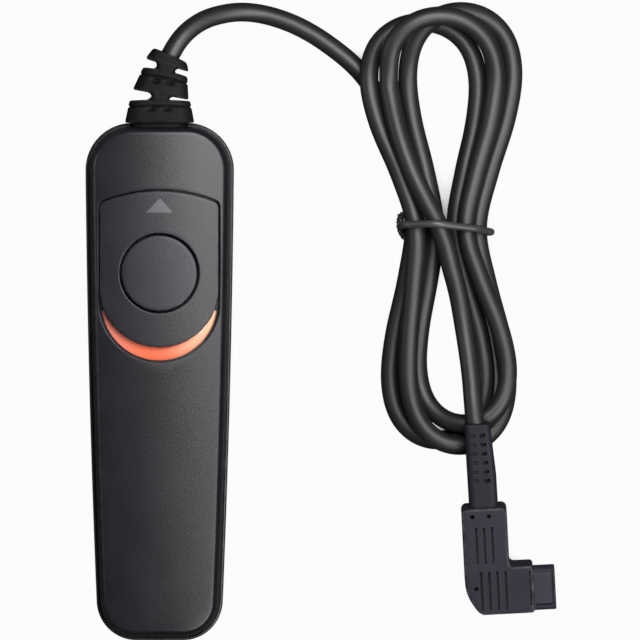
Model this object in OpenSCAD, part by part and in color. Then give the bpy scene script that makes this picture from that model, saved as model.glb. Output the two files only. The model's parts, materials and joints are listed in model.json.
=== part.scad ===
// Wired shutter release remote: a handset with a sliding hold plate and a
// two-stage button, its cord tied in a hank, and a right-angle socket plug.
// The handset lies on its back: +X right, +Y towards the cord, +Z out of the
// button. The origin is the middle of the back.

/* [Handset] */
// Length of the handset, without its cord
body_length = 98; // [90:1:120]
// Width at the cord end
body_width = 28.1; // [27.6:0.1:32]
// How much narrower the far end is
body_taper = 4.2; // [1:0.1:6]
// Thickness over the crown of the face
body_thickness = 18; // [17:0.5:22]
// Radius of the crown across the face
crown_radius = 55; // [48:1:90]
// Corner radius at the cord end
cord_corner = 8.9; // [7:0.1:10]
// Corner radius at the far end
far_corner = 7.6; // [6:0.1:9]
// Height of the parting line between the shells
parting = 8.6; // [8.2:0.1:9.4]
// How far the back shell's rim stands out past the front shell
rim_step = 0.7; // [0.4:0.1:0.9]
// Thickness of the front shell's side wall
side_wall = 1.2; // [1.1:0.1:1.4]
// Thickness of the front shell's face
face_wall = 1.6; // [1.3:0.1:1.8]
// Thickness of the back shell's floor
back_wall = 1.6; // [1.2:0.1:2]
// Width and height of the rounding round the face
roll = [1.2, 2.2]; // [1:0.1:3]

/* [Hold slider] */
// Width of the pocket that the slider runs in
pocket_width = 23; // [22.6:0.1:23.4]
// Height up the handset of the pocket's top
pocket_top = 36.3; // [35.5:0.1:37.5]
// Height up the handset of the pocket's round lower end
pocket_bottom = 3.7; // [2.5:0.1:4]
// Radius of the arc along the pocket's top
pocket_arc = 29; // [24:1:40]
// Radius of the pocket's upper corners
pocket_corner = 1.5; // [0.6:0.1:2]
// Depth of the pocket below the face
pocket_depth = 1.7; // [1.6:0.1:2]
// Thickness of the pocket's floor
pocket_floor = 1.2; // [1:0.1:1.3]
// Travel of the slider between free and hold
hold_travel = 2.5; // [1.5:0.1:2.5]
// Running gap round the slider and below it
slide_gap = 0.25; // [0.2:0.05:0.3]
// Thickness of the coloured hold mark let into the pocket's floor
mark_thickness = 0.5; // [0.3:0.1:0.6]

/* [Release button] */
// Height up the handset of the button's centre, in the hold position
button_y = 20.5; // [20:0.1:21]
// Radius of the button
button_radius = 7.15; // [6.5:0.05:7.2]
// Open ring between the button and its collar
button_gap = 0.4; // [0.3:0.05:0.4]
// Wall of the collar that guides the button
collar_wall = 0.9; // [0.7:0.1:1]
// Full travel of the button
press_travel = 1.2; // [0.8:0.1:1.2]
// Radius of the button's stem
stem_radius = 1.5; // [1.2:0.1:1.6]
// Turns of the return spring
spring_turns = 6; // [4:1:7]
// Wire diameter of the return spring
spring_wire = 0.45; // [0.3:0.05:0.5]
// Mean radius of the return spring
spring_radius = 3.4; // [3:0.1:4]

/* [Contacts] */
// Thickness of each contact leaf
leaf_thickness = 0.3; // [0.2:0.05:0.3]
// Width of each contact leaf
leaf_width = 5; // [4:0.5:6]
// Gap that the first half of the press closes
focus_gap = 0.3; // [0.2:0.05:0.3]
// Gap that the second half of the press closes
shutter_gap = 0.6; // [0.5:0.05:0.6]
// Thickness of the circuit board
board_thickness = 1.2; // [1:0.1:1.6]

/* [Cord and plug] */
// Diameter of the cord
cord_diameter = 3.6; // [3.2:0.1:3.6]
// Diameter of the twist tie's wire
tie_wire = 1.4; // [1:0.1:1.4]
// Width of the plug's body
plug_width = 8.6; // [8.2:0.1:9.4]
// Length of the plug's body
plug_length = 20.6; // [19.5:0.1:22]
// Thickness of the plug's body
plug_thickness = 7; // [6.6:0.1:7.4]
// Height of the plug's arm, along the plug
arm_height = 9.1; // [8.9:0.1:10]
// Reach of the arm's shoulder from the plug's centre line
arm_reach = 9.2; // [8.6:0.1:10]
// Reach of the nose from the plug's centre line
nose_reach = 13.3; // [12.6:0.1:15]
// Height of the nose, along the plug
nose_height = 8.2; // [7.8:0.1:8.4]
// Thickness of the nose
nose_thickness = 5; // [4:0.1:5.6]
// Radius of each socket in the nose
socket_radius = 0.5; // [0.4:0.05:0.6]
// Depth of each socket
socket_depth = 4; // [3:0.1:4]
// Distance between the sockets
socket_pitch = 2.5; // [2.2:0.1:2.7]

/* [Hidden] */

$fn = 48;
eps = 0.01;

// ---- shared sizes of the handset
axis_z = body_thickness - crown_radius;
inner_step = rim_step + side_wall;
corner_steps = 7;
side_steps = 7;
groove = 0.3;
cord_radius = cord_diameter / 2;
cord_z = parting;

// Half-width of the outline a share u of the way down its sides
function side_x(u) = body_width / 2 - body_taper / 2 * (0.38 * u + 0.62 * u * u);
function side_y(u) = (body_length / 2 - cord_corner) * (1 - u) - (body_length / 2 - far_corner) * u;
function arc(centre, r, a0, a1, n) =
    [for (i = [0:n]) centre + r * [cos(a0 + (a1 - a0) * i / n), sin(a0 + (a1 - a0) * i / n)]];
// The right half of the handset's outline, moved in by d, from the far end up
function right_half(d) = concat(
    arc([side_x(1) - far_corner, far_corner - body_length / 2], far_corner - d, -90, 0, corner_steps),
    [for (i = [1:side_steps - 1]) [side_x(1 - i / side_steps) - d, side_y(1 - i / side_steps)]],
    arc([side_x(0) - cord_corner, body_length / 2 - cord_corner], cord_corner - d, 0, 90, corner_steps));
function mirrored(half) = [for (i = [len(half) - 1:-1:0]) [-half[i][0], half[i][1]]];
function outline(d) = let (half = right_half(d)) concat(half, mirrored(half));
// Height of the crowned face at a distance x from the middle
function crown(x) = axis_z + sqrt(crown_radius * crown_radius - x * x);

// ---- shared sizes of the slider, its pocket and the button
pocket_half = pocket_width / 2;
pocket_round = pocket_bottom + pocket_half;
slider_round = pocket_round + hold_travel;
slider_thickness = pocket_depth - slide_gap;
collar_bore = button_radius + button_gap;
collar_outer = collar_bore + collar_wall;
collar_bottom = body_thickness - 5.4;
flange_top = collar_bottom - 0.1;
flange_bottom = flange_top - 0.9;
flange_radius = collar_bore + 0.7;
wing_width = 1.7;
wing_length = 8;
wing_inner = collar_outer - 0.2;
wing_outer = wing_inner + wing_width;
hook_reach = 0.75;
floor_under = crown(wing_outer + hook_reach) - pocket_depth - pocket_floor;
hook_top = floor_under - 0.15;
hook_height = 1.4;
floor_gap = 0.3;
retainer_top = 9.1;
retainer_thickness = 1.2;
wing_screw_x = wing_inner + wing_width / 2;
stem_clearance = 0.5;

// ---- shared sizes of the contacts
board_bottom = back_wall + 1.4;
board_top = board_bottom + board_thickness;
stack_base = 0.6;
shutter_z = board_top + stack_base;
focus_z = shutter_z + leaf_thickness + shutter_gap;
common_z = focus_z + leaf_thickness + focus_gap;
common_top = common_z + leaf_thickness;
stem_tip = common_top + 0.3;
stack_clamp = 0.6;
stack_y = 4.5;
stack_length = 5;
leaf_reach = 24.5;
rivet_x = 1.3;
rivet_radius = 0.6;

// ---- fasteners
case_screw_at = [[0, -body_length / 2 + 9.5], [-9.2, body_length / 2 - 7.5], [9.2, body_length / 2 - 7.5]];
boss_radius = 2.3;
screw_shank = 1;
screw_clear = 1.05;
screw_head = 1.9;
head_clear = 2.1;
screw_sunk = 0.4;
screw_seat = 2.2;
screw_length = 11;
board_screw_at = [[-6.8, 9.5], [6.8, 9.5], [-6.8, 32], [6.8, 32]];
small_shank = 0.7;
small_head = 1.3;
small_head_height = 0.7;
board_screw_length = 3;
clamp_screw_length = 6.4;
carriage_shank = 0.5;
board_half = 8.6;
board_ends = [2, 35];
clamp_y = body_length / 2 - 7.5;
clamp_length = 3.6;
clamp_half = 5.6;
clamp_screw_x = 3.9;

// The cord from the boot to the hank, as it lies: down to the surface, then along it
LEAD = [[2, 61.8, 8.6], [3.5, 64.4, 8.3], [5.5, 66.6, 7.4], [8.3, 68.5, 5.9], [11.6, 69.6, 4.2],
    [15.2, 70.1, 2.8], [18.8, 69.8, 2], [22.4, 68.9, 1.9], [26.2, 67.4, 1.9], [30.1, 65.2, 1.9],
    [34, 62.4, 1.9], [36.8, 60, 1.9], [39.2, 57.3, 1.9], [41.2, 54, 1.9], [42.9, 50.2, 1.9],
    [44.4, 45.6, 1.9], [45.9, 40.2, 2], [47.3, 34.6, 2.7], [48.3, 29.1, 3.3]];
// The cord from the top of the hank's last loop, over its waist, to the plug
TAIL = [[43.5, 57.4, 7.8], [43.95, 53, 8.2], [44.9, 48.5, 9.1], [46.3, 43.8, 9.9], [48.1, 39.1, 10.3],
    [50.3, 34.5, 10.3], [52.5, 30.3, 9.8], [54.1, 26, 9], [55.2, 21.6, 8], [56.5, 16.8, 7.3],
    [57.5, 11.3, 7.2], [58.4, 5.6, 7.9], [59, 0.8, 9.1], [59.35, -3.6, 10.1], [59.7, -7.8, 10.4]];

// ---- the hank: figure-of-eight turns drawn in at the waist
hank_centre = [54.2, 29.1];
hank_turns = 3;
hank_rings = 24;
waist_soft = 0.16;
// One value for each lobe, from the first lower one: sideways lean, half-width and depth
lobe_lean = [-1.4, -4.5, 2.6, 2.9, 3.5, -1];
lobe_width = [18.4, 21.2, 18.6, 20.4, 17.5, 21.3];
lobe_depth = [40.3, 39.1, 41.3, 41.1, 37.2, 40.2];
// Place of each pass through the waist, from its middle
waist_slot = [-5.9, 1.9, -5.6, 6, -2, 3.8, 0];
// Height of the cord's centre at each sixteenth of a turn
layers = [3.3, 2.3, 1.9, 1.9, 1.9, 1.9, 1.9, 2.3, 3.3, 2.3, 2, 1.9, 2, 3, 5.9, 6.2,
    7.4, 6.8, 6.2, 6.2, 5.5, 3.1, 2, 2.7, 3.3, 2.3, 2.1, 3.1, 6, 6.2, 2.7, 2.3,
    3.3, 2.5, 2.2, 3.4, 6, 6.5, 6.2, 6.7, 7.1, 6.5, 6.2, 9.1, 10.5, 10.4, 7.8];
hank_end = (len(layers) - 1) / 16;

// The smooth curve through b and c, between a and d, at a share t of the way from b to c
function curve(a, b, c, d, t) =
    0.5 * (2 * b + (c - a) * t + (2 * a - 5 * b + 4 * c - d) * t * t + (3 * b - a - 3 * c + d) * t * t * t);
function pull(s) = (sqrt(s * s + waist_soft * waist_soft) - waist_soft)
    / (sqrt(1 + waist_soft * waist_soft) - waist_soft);
function hank_point(t) = let (
    lobe = min(floor(2 * t), 2 * hank_turns - 1),
    a = 360 * t,
    open = pull(abs(sin(a))),
    kept = (1 - open) * (1 - open),
    slot = waist_slot[floor(2 * t + 0.5)],
    i = min(floor(16 * t), len(layers) - 2))
    [hank_centre[0] + lobe_lean[lobe] * (1 - kept) + slot * kept - cos(a) * lobe_width[lobe] * open,
     hank_centre[1] - lobe_depth[lobe] * sin(a),
     curve(layers[max(i - 1, 0)], layers[i], layers[i + 1], layers[min(i + 2, len(layers) - 1)], 16 * t - i)];

// ---- sweeps
function unit(v) = v / norm(v);
function tangents(p) = [for (i = [0:len(p) - 1]) unit(p[min(i + 1, len(p) - 1)] - p[max(i - 1, 0)])];
// A flat shape's points set square to a direction; the shape's x lies square to flat too
function ring(centre, dir, shape, flat = [0, 0, 1]) = let (side = unit(cross(dir, flat)), down = cross(dir, side))
    [for (q = shape) centre + q[0] * side + q[1] * down];
function round_shape(r, n) = [for (k = [0:n - 1]) r * [cos(360 * (k + 0.5) / n), sin(360 * (k + 0.5) / n)]];
// Directions along a path, of which the first and last may be set
function path_dirs(p, first = undef, last = undef) = let (dirs = tangents(p)) [for (i = [0:len(p) - 1])
    i == 0 && !is_undef(first) ? first : i == len(p) - 1 && !is_undef(last) ? last : dirs[i]];
function tube_rings(p, r, n, dirs, flat = [0, 0, 1]) =
    [for (i = [0:len(p) - 1]) ring(p[i], dirs[i], round_shape(r, n), flat)];
// Two triangles for each side between the rings a and b, which start at those points
function band(a, b, n) = [for (k = [0:n - 1]) each [
    [a + k, b + k, a + (k + 1) % n], [a + (k + 1) % n, b + k, b + (k + 1) % n]]];
module stack(rings) {
    n = len(rings[0]);
    last = (len(rings) - 1) * n;
    polyhedron([for (r = rings) each r], concat(
        [for (k = [1:n - 2]) [0, k, k + 1]],
        [for (i = [0:len(rings) - 2]) each band(i * n, (i + 1) * n, n)],
        [for (k = [1:n - 2]) [last, last + k + 1, last + k]]), convexity = 10);
}
module tube(p, r, n, first = undef, last = undef) {
    stack(tube_rings(p, r, n, path_dirs(p, first, last)));
}
// A tube whose path comes back to its first point
module closed_tube(p, r, n, flat) {
    m = len(p);
    dirs = [for (i = [0:m - 1]) unit(p[(i + 1) % m] - p[(i + m - 1) % m])];
    polyhedron([for (r = tube_rings(p, r, n, dirs, flat)) each r],
        [for (i = [0:m - 1]) each band(i * n, (i + 1) % m * n, n)], convexity = 10);
}

hank_path = [for (i = [0:hank_rings * hank_end]) hank_point(i / hank_rings)];
// Least distance between two stretches of the hank that aren't neighbours, less the cord itself
hank_fine = [for (i = [0:4 * hank_rings * hank_end]) hank_point(i / hank_rings / 4)];
self_gap = min([for (i = [0:len(hank_fine) - 13], j = [i + 12:len(hank_fine) - 1])
    norm(hank_fine[i] - hank_fine[j])]) - cord_diameter;
echo(hank_self_gap = self_gap);

// ---- shells

// The outline at each [inset, height] of a list, joined into a closed solid
module shell_stack(levels) {
    stack([for (level = levels) [for (q = outline(level[0])) [q[0], q[1], level[1]]]]);
}

// Solid of the front shell: upright sides, a rounded edge and a crowned face
module front_solid() {
    edge = rim_step + 0.2;
    angles = [0, 22, 45, 68, 90];
    columns = 8;
    half = right_half(edge + roll[0]);
    rows = len(half);
    count = 2 * rows;
    lower = [for (level = [[rim_step + groove, parting], [rim_step, parting + groove]])
        [for (q = outline(level[0])) [q[0], q[1], level[1]]]];
    upper = [for (a = angles) [for (q = outline(edge + roll[0] * (1 - cos(a))))
        [q[0], q[1], crown(q[0]) - roll[1] * (1 - sin(a))]]];
    rings = concat(lower, upper);
    inner = [for (q = half, c = [1:columns - 1]) let (x = q[0] * (1 - 2 * c / columns)) [x, q[1], crown(x)]];
    base = len(rings) * count;
    last = base - count;
    // Point of the crowned grid in a row and a column, of which the first and last lie on the top ring
    function cell(r, c) = c == 0 ? last + r : c == columns ? last + count - 1 - r : base + r * (columns - 1) + c - 1;
    polyhedron(
        concat([for (ring = rings) each ring], inner),
        concat(
            [for (k = [1:count - 2]) [0, k, k + 1]],
            [for (i = [0:len(rings) - 2]) each band(i * count, (i + 1) * count, count)],
            [for (c = [0:columns - 1], r = [0:rows - 2]) each [
                [cell(r, c), cell(r, c + 1), cell(r + 1, c)],
                [cell(r + 1, c), cell(r, c + 1), cell(r + 1, c + 1)]]],
            [for (c = [1:columns - 1]) each [
                [cell(0, columns), cell(0, c), cell(0, c - 1)],
                [cell(rows - 1, 0), cell(rows - 1, c), cell(rows - 1, c + 1)]]]),
        convexity = 10);
}

// A round bar along the handset that the crowned surfaces are cut from
module crown_bar(depth) {
    translate([0, body_length, axis_z]) rotate([90, 0, 0])
        cylinder(r = crown_radius - depth, h = 2 * body_length, $fn = 180);
}
module prism(points, z0, z1) {
    translate([0, 0, z0]) linear_extrude(z1 - z0) polygon(points);
}

// The pocket's outline moved in by d, with its round end at a height
function pocket_outline(d, round_y) = let (
    top_y = pocket_top - pocket_arc,
    corner = pocket_corner,
    cx = pocket_half - corner,
    cy = top_y + sqrt(pow(pocket_arc - corner, 2) - cx * cx),
    turn = atan2(cy - top_y, cx))
    concat(
        arc([0, round_y], pocket_half - d, -180, 0, 24),
        arc([cx, cy], corner - d, 0, turn, 3),
        arc([0, top_y], pocket_arc - d, turn + 2, 178 - turn, 10),
        arc([-cx, cy], corner - d, 180 - turn, 180, 3));

module boot_window(extra) {
    translate([-boot_neck[0] / 2 - extra, body_length / 2 - 6, cord_z - boot_neck[1] / 2 - extra])
        cube([boot_neck[0] + 2 * extra, 8, boot_neck[1] + 2 * extra]);
}

module front_shell() color("#26272b") difference() {
    union() {
        difference() {
            front_solid();
            intersection() {
                prism(outline(inner_step), parting - 1, body_thickness);
                crown_bar(face_wall);
            }
        }
        // the pocket's floor, let in under the face
        intersection() {
            difference() {
                crown_bar(face_wall / 2);
                crown_bar(pocket_depth + pocket_floor);
            }
            prism(pocket_outline(-1.4, pocket_round), parting + 2, body_thickness);
            prism(outline(inner_step - 0.3), parting + 2, body_thickness);
        }
        // screw bosses down to the parting line
        for (p = case_screw_at) translate([p[0], p[1], parting])
            cylinder(r = boss_radius, h = crown(abs(p[0]) + boss_radius) - parting - face_wall / 2);
    }
    difference() {
        prism(pocket_outline(0, pocket_round), parting, body_thickness + 1);
        crown_bar(pocket_depth);
    }
    // the hold mark's seat in the pocket's floor
    difference() {
        prism(mark_outline(0), parting, body_thickness);
        crown_bar(pocket_depth + mark_thickness);
    }
    carriage_way();
    // the rebate that takes the back shell's tongue
    difference() {
        prism(outline(inner_step - 0.6), parting - 1, parting + 0.8);
        prism(outline(inner_step + 0.1), parting - 2, parting + 1);
    }
    for (p = case_screw_at) translate([p[0], p[1], parting - 1])
        cylinder(r = screw_clear, h = screw_seat + screw_length - parting + 1.5);
    boot_window(0.1);
}

boot_neck = [10.2, 7.2];
boot_flange = [13, 9.6];

module back_shell() color("#1d1e21") difference() {
    union() {
        difference() {
            shell_stack([[2.6, 0], [1.6, 0.2], [0.8, 0.7], [0.25, 1.6], [0, 3], [0, parting - 0.5],
                [0.12, parting - 0.15], [0.4, parting]]);
            prism(outline(inner_step), back_wall, parting + 1);
        }
        // the tongue that keys into the front shell
        difference() {
            prism(outline(inner_step - 0.5), parting - 2, parting + 0.7);
            prism(outline(inner_step), parting - 3, parting + 1);
        }
        for (p = case_screw_at) translate([p[0], p[1], eps])
            cylinder(r = boss_radius, h = parting - 2 * eps);
        for (p = board_screw_at) translate([p[0], p[1], back_wall / 2])
            cylinder(r = 1.5, h = board_bottom - back_wall / 2);
        // the saddle under the cord
        translate([-clamp_half, clamp_y - clamp_length / 2, back_wall / 2])
            cube([2 * clamp_half, clamp_length, cord_z - 0.1 - back_wall / 2]);
    }
    for (p = case_screw_at) translate([p[0], p[1], -1]) {
        cylinder(r = screw_clear, h = parting + 2);
        cylinder(r = head_clear, h = 1 + screw_seat);
    }
    for (p = board_screw_at) translate([p[0], p[1], back_wall / 2]) cylinder(r = small_shank + 0.05, h = 4);
    for (s = [-1, 1]) translate([s * clamp_screw_x, clamp_y, parting - 4.5])
        cylinder(r = small_shank + 0.05, h = 6);
    translate([0, clamp_y + clamp_length, cord_z]) rotate([90, 0, 0])
        cylinder(r = cord_radius + 0.05, h = 2 * clamp_length);
    boot_window(0.1);
}

// ---- hold mark: the coloured crescent's plate

function mark_outline(d) = concat(
    arc([0, pocket_round - 0.35], pocket_half - 0.5 - d, -172, -8, 22),
    arc([0, pocket_round + 1.8], pocket_half - 1.6 + d, -10, -170, 18));
module hold_mark() color("#f0603a") intersection() {
    difference() {
        crown_bar(pocket_depth);
        crown_bar(pocket_depth + mark_thickness);
    }
    prism(mark_outline(0.05), parting, body_thickness);
    difference() {
        cube(3 * body_length, center = true);
        carriage_way();
    }
}
// The way through the pocket's floor that the collar and the wings travel in
module carriage_way() {
    r = collar_outer + floor_gap;
    for (y = [button_y - hold_travel, button_y]) translate([0, y, parting]) cylinder(r = r, h = body_thickness);
    translate([-r, button_y - hold_travel, parting]) cube([2 * r, hold_travel, body_thickness]);
    translate([-wing_outer - floor_gap, button_y - wing_length / 2 - hold_travel - floor_gap, parting])
        cube([2 * (wing_outer + floor_gap), wing_length + hold_travel + 2 * floor_gap, body_thickness]);
}

// ---- the sliding carriage

module slider_marks() {
    // the direction arrow, raised on the slider's upper part
    arrow = [[-2.55, 31.95], [2.55, 31.95], [0.15, 34.7]];
    intersection() {
        crown_bar(-0.12);
        prism(arrow, body_thickness - 1, body_thickness + 1);
    }
}
module hold_slider() color("#2b2c30") difference() {
    union() {
        intersection() {
            difference() {
                crown_bar(0);
                crown_bar(slider_thickness);
            }
            prism(pocket_outline(slide_gap, slider_round), parting, body_thickness + 1);
        }
        slider_marks();
        // the collar round the button
        translate([0, button_y, collar_bottom]) cylinder(r = collar_outer, h = body_thickness - 1 - collar_bottom);
        for (s = [-1, 1]) {
            // a wing beside the collar, hooked under the pocket's floor
            translate([s * (wing_inner + wing_width / 2), button_y, 0])
                translate([-wing_width / 2, -wing_length / 2, retainer_top])
                    cube([wing_width, wing_length, crown(wing_outer) - 0.5 - retainer_top]);
            translate([s * (wing_outer + hook_reach / 2 - 0.1), button_y, hook_top - hook_height / 2])
                cube([hook_reach + 0.2, wing_length - 1, hook_height], center = true);
        }
    }
    translate([0, button_y, collar_bottom - 4]) cylinder(r = collar_bore, h = body_thickness);
    for (s = [-1, 1]) translate([s * wing_screw_x, button_y, retainer_top - 1])
        cylinder(r = carriage_shank + 0.05, h = 3);
}

module spring_retainer() color("#d8d8d2") difference() {
    union() {
        translate([-wing_outer, button_y - wing_length / 2, retainer_top - retainer_thickness])
            cube([2 * wing_outer, wing_length, retainer_thickness]);
        translate([0, button_y, retainer_top - 0.2]) cylinder(r = spring_radius - spring_wire, h = 0.8);
    }
    translate([0, button_y, retainer_top - 3]) cylinder(r = stem_radius + stem_clearance, h = 6);
    for (s = [-1, 1]) translate([s * wing_screw_x, button_y, retainer_top - 3])
        cylinder(r = carriage_shank + 0.05, h = 4);
}
module carriage_screws() color("silver") for (s = [-1, 1])
    translate([s * wing_screw_x, button_y, retainer_top - retainer_thickness]) {
        cylinder(r = carriage_shank, h = retainer_thickness + 1.6);
        translate([0, 0, -0.6]) cylinder(r = 1.8 * carriage_shank, h = 0.6);
    }

button_crown = 0.15;
button_roof = 1.6;
spring_top = body_thickness - button_crown - button_roof;
module release_button() color("#303136") {
    difference() {
        union() {
            // the top follows the crown of the face, a little lower
            intersection() {
                translate([0, button_y, flange_bottom]) cylinder(r = button_radius, h = body_thickness);
                translate([0, button_y, axis_z - 2 * crown_radius])
                    sphere(r = 3 * crown_radius - button_crown, $fn = 200);
            }
            translate([0, button_y, flange_bottom])
                cylinder(r = flange_radius, h = flange_top - flange_bottom);
        }
        // hollow underside
        translate([0, button_y, flange_bottom - 1])
            cylinder(r = button_radius - 1.2, h = spring_top - flange_bottom + 1);
    }
    translate([0, button_y, stem_tip]) cylinder(r = stem_radius, h = spring_top + eps - stem_tip);
}

spring_low = retainer_top + spring_wire / 2 + 0.05;
spring_high = spring_top - spring_wire / 2 - 0.05;
echo(spring_self_gap = (spring_high - spring_low) / spring_turns - spring_wire);
module button_spring() color("silver") tube([for (i = [0:8 * spring_turns]) [
    spring_radius * cos(45 * i), button_y + spring_radius * sin(45 * i),
    spring_low + (spring_high - spring_low) * i / (8 * spring_turns)]], spring_wire / 2, 6);

// ---- circuit board and contacts

wire_x = [-3, 0, 3];
pad_y = 33;
pad_thickness = 0.1;
module circuit_board() color("#3f6b3a") difference() {
    union() {
        translate([-board_half, board_ends[0], board_bottom])
            cube([2 * board_half, board_ends[1] - board_ends[0], board_thickness]);
        for (x = wire_x) translate([x, pad_y, board_top - eps]) cylinder(r = 0.9, h = pad_thickness + eps);
    }
    for (p = board_screw_at) translate([p[0], p[1], board_bottom - 1]) cylinder(r = small_shank + 0.1, h = 4);
    for (s = [-1, 1]) translate([s * rivet_x, stack_y + stack_length / 2, board_bottom - 1])
        cylinder(r = rivet_radius + 0.05, h = 4);
}
module board_screws() color("silver") for (p = board_screw_at)
    translate([p[0], p[1], board_top]) small_screw(board_screw_length);

// A small cross-head screw whose head rests on z = 0
module small_screw(length) difference() {
    union() {
        translate([0, 0, -length]) cylinder(r = small_shank, h = length + eps);
        cylinder(r = small_head, h = small_head_height);
    }
    cross_recess(small_head * 1.1, 0.35, small_head_height - 0.35, small_head_height + 1);
}
module cross_recess(width, slot, z0, z1) for (a = [0, 90]) rotate([0, 0, a])
    translate([-width / 2, -slot / 2, z0]) cube([width, slot, z1 - z0]);

// A contact leaf at a height, with its solder tab down to the board at tab_x
tab_length = 1.3;
module leaf(z, tab_x) difference() {
    union() {
        translate([-leaf_width / 2, stack_y, z])
            cube([leaf_width, leaf_reach - leaf_width / 2 - stack_y, leaf_thickness]);
        translate([0, leaf_reach - leaf_width / 2, z]) cylinder(r = leaf_width / 2, h = leaf_thickness);
        translate([tab_x - 0.5, stack_y - tab_length, z]) cube([1, tab_length + eps, leaf_thickness]);
        translate([tab_x - 0.5, stack_y - tab_length, board_top])
            cube([1, leaf_thickness, z + leaf_thickness - board_top]);
    }
    for (s = [-1, 1]) translate([s * rivet_x, stack_y + stack_length / 2, z - 1])
        cylinder(r = rivet_radius + 0.05, h = 3);
}
// A contact point under a leaf
contact_y = 19.2;
contact_height = 0.1;
module contact_point(z) translate([0, contact_y, z - contact_height])
    cylinder(r = 0.8, h = contact_height + eps);
module common_leaf() color("#c9a24a") {
    leaf(common_z, 1.8);
    contact_point(common_z);
}
module focus_leaf() color("#c9a24a") {
    leaf(focus_z, 0);
    contact_point(focus_z);
}
module shutter_leaf() color("#c9a24a") leaf(shutter_z, -1.8);

module leaf_spacers() color("#6d4a2c") for (level = [
        [board_top, shutter_z], [shutter_z + leaf_thickness, focus_z],
        [focus_z + leaf_thickness, common_z], [common_top, common_top + stack_clamp]])
    difference() {
        translate([-leaf_width / 2, stack_y, level[0]]) cube([leaf_width, stack_length, level[1] - level[0]]);
        for (s = [-1, 1]) translate([s * rivet_x, stack_y + stack_length / 2, level[0] - 1])
            cylinder(r = rivet_radius + 0.05, h = 3);
    }
rivet_head = 0.3;
module leaf_rivets() color("silver") for (s = [-1, 1])
    translate([s * rivet_x, stack_y + stack_length / 2, 0]) {
        translate([0, 0, board_bottom - rivet_head])
            cylinder(r = rivet_radius, h = common_top + stack_clamp - board_bottom + 2 * rivet_head);
        for (z = [board_bottom - rivet_head, common_top + stack_clamp]) translate([0, 0, z])
            cylinder(r = 1, h = rivet_head);
    }

// ---- cord entry

clamp_gap = 0.1;
clamp_top = cord_z + 2.6;
module cable_clamp() color("#2a2b2e") difference() {
    translate([-clamp_half, clamp_y - clamp_length / 2, cord_z + clamp_gap])
        cube([2 * clamp_half, clamp_length, clamp_top - cord_z - clamp_gap]);
    translate([0, clamp_y + clamp_length, cord_z]) rotate([90, 0, 0])
        cylinder(r = cord_radius + 0.05, h = 2 * clamp_length);
    for (s = [-1, 1]) translate([s * clamp_screw_x, clamp_y, cord_z]) cylinder(r = small_shank + 0.1, h = 4);
}
module clamp_screws() color("silver") for (s = [-1, 1])
    translate([s * clamp_screw_x, clamp_y, clamp_top]) small_screw(clamp_screw_length);

module case_screws() color("silver") for (p = case_screw_at) translate([p[0], p[1], 0]) difference() {
    union() {
        translate([0, 0, screw_seat - eps]) cylinder(r = screw_shank, h = screw_length);
        translate([0, 0, screw_sunk]) cylinder(r = screw_head, h = screw_seat - screw_sunk);
    }
    cross_recess(screw_head * 1.2, 0.5, -1, screw_sunk + 0.8);
}

jacket_end = clamp_y - clamp_length / 2 - 0.7;
anchor_y = body_length / 2 - 3.6;
module cord_entry() color("#2c2b2a") translate([0, anchor_y, cord_z]) rotate([90, 0, 0])
    cylinder(r = cord_radius, h = anchor_y - jacket_end);

// One of the cord's three wires, from the jacket's end to its pad on the board
wire_radius = 0.5;
wire_start = [[-0.85, -0.5], [0, 0.95], [0.85, -0.5]];
module wire(i) {
    x0 = wire_start[i][0];
    z0 = cord_z + wire_start[i][1];
    tube([[x0, jacket_end, z0], [x0 * 1.2, jacket_end - 1.2, z0 - 0.2], [(x0 * 2 + wire_x[i]) / 2, jacket_end - 3, 7.2],
        [wire_x[i], pad_y + 1.3, 5.6], [wire_x[i], pad_y + 0.2, board_top + pad_thickness]],
        wire_radius, 6, first = [0, -1, 0], last = unit([0, -0.01, -1]));
}
module common_wire() color("white") wire(1);
module focus_wire() color("firebrick") wire(0);
module shutter_wire() color("goldenrod") wire(2);

// A rectangle of w by h with round corners, as points
function round_rect(w, h) = let (r = 0.26 * min(w, h)) [for (c = [[1, 1, 0], [-1, 1, 90], [-1, -1, 180], [1, -1, 270]])
    each arc([c[0] * (w / 2 - r), c[1] * (h / 2 - r)], r, c[2], c[2] + 90, 4)];

// ---- the ribbed boot where the cord leaves: [x, y past the handset's end, heading, width, height]
core = [3.9, 3.9];
boot_stations = [
    [0, -3.6, 0, boot_flange], [0, -2.1, 0, boot_flange], [0, -2.1, 0, boot_neck], [0, 0.1, 0, boot_neck],
    [0, 0.1, 0, [13.1, 9.6]], [0.05, 4.2, 2, [11.3, 8.6]], [0.05, 4.2, 2, core], [0.2, 5.4, 10, core],
    [0.2, 5.4, 10, [10.7, 8.2]], [1.05, 9.7, 12, [8.5, 7]], [1.05, 9.7, 12, core], [1.4, 10.9, 17, core],
    [1.4, 10.9, 17, [8.3, 6.6]], [1.7, 12, 20, [8, 6.4]], [2, 12.8, 24, [5.4, 5]]];
function heading(a) = [sin(a), cos(a), 0];
module cord_boot() color("#242526") stack([for (b = boot_stations)
    ring([b[0], body_length / 2 + b[1], cord_z], heading(b[2]), round_rect(b[3][0], b[3][1]))]);

// ---- the cord outside

lead_to_hank = unit(hank_path[1] - LEAD[len(LEAD) - 2]);
hank_to_tail = unit(TAIL[1] - hank_path[len(hank_path) - 2]);
module cord_lead() color("#2c2b2a")
    tube(LEAD, cord_radius, 8, first = heading(boot_stations[len(boot_stations) - 1][2]), last = lead_to_hank);
module cord_hank() color("#2c2b2a")
    tube(hank_path, cord_radius, 6, first = lead_to_hank, last = hank_to_tail);
module cord_tail() color("#2c2b2a")
    tube(TAIL, cord_radius, 8, first = hank_to_tail, last = plug_axis);

// ---- twist tie: one turn round the waist, with its twisted ends on the left

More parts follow.
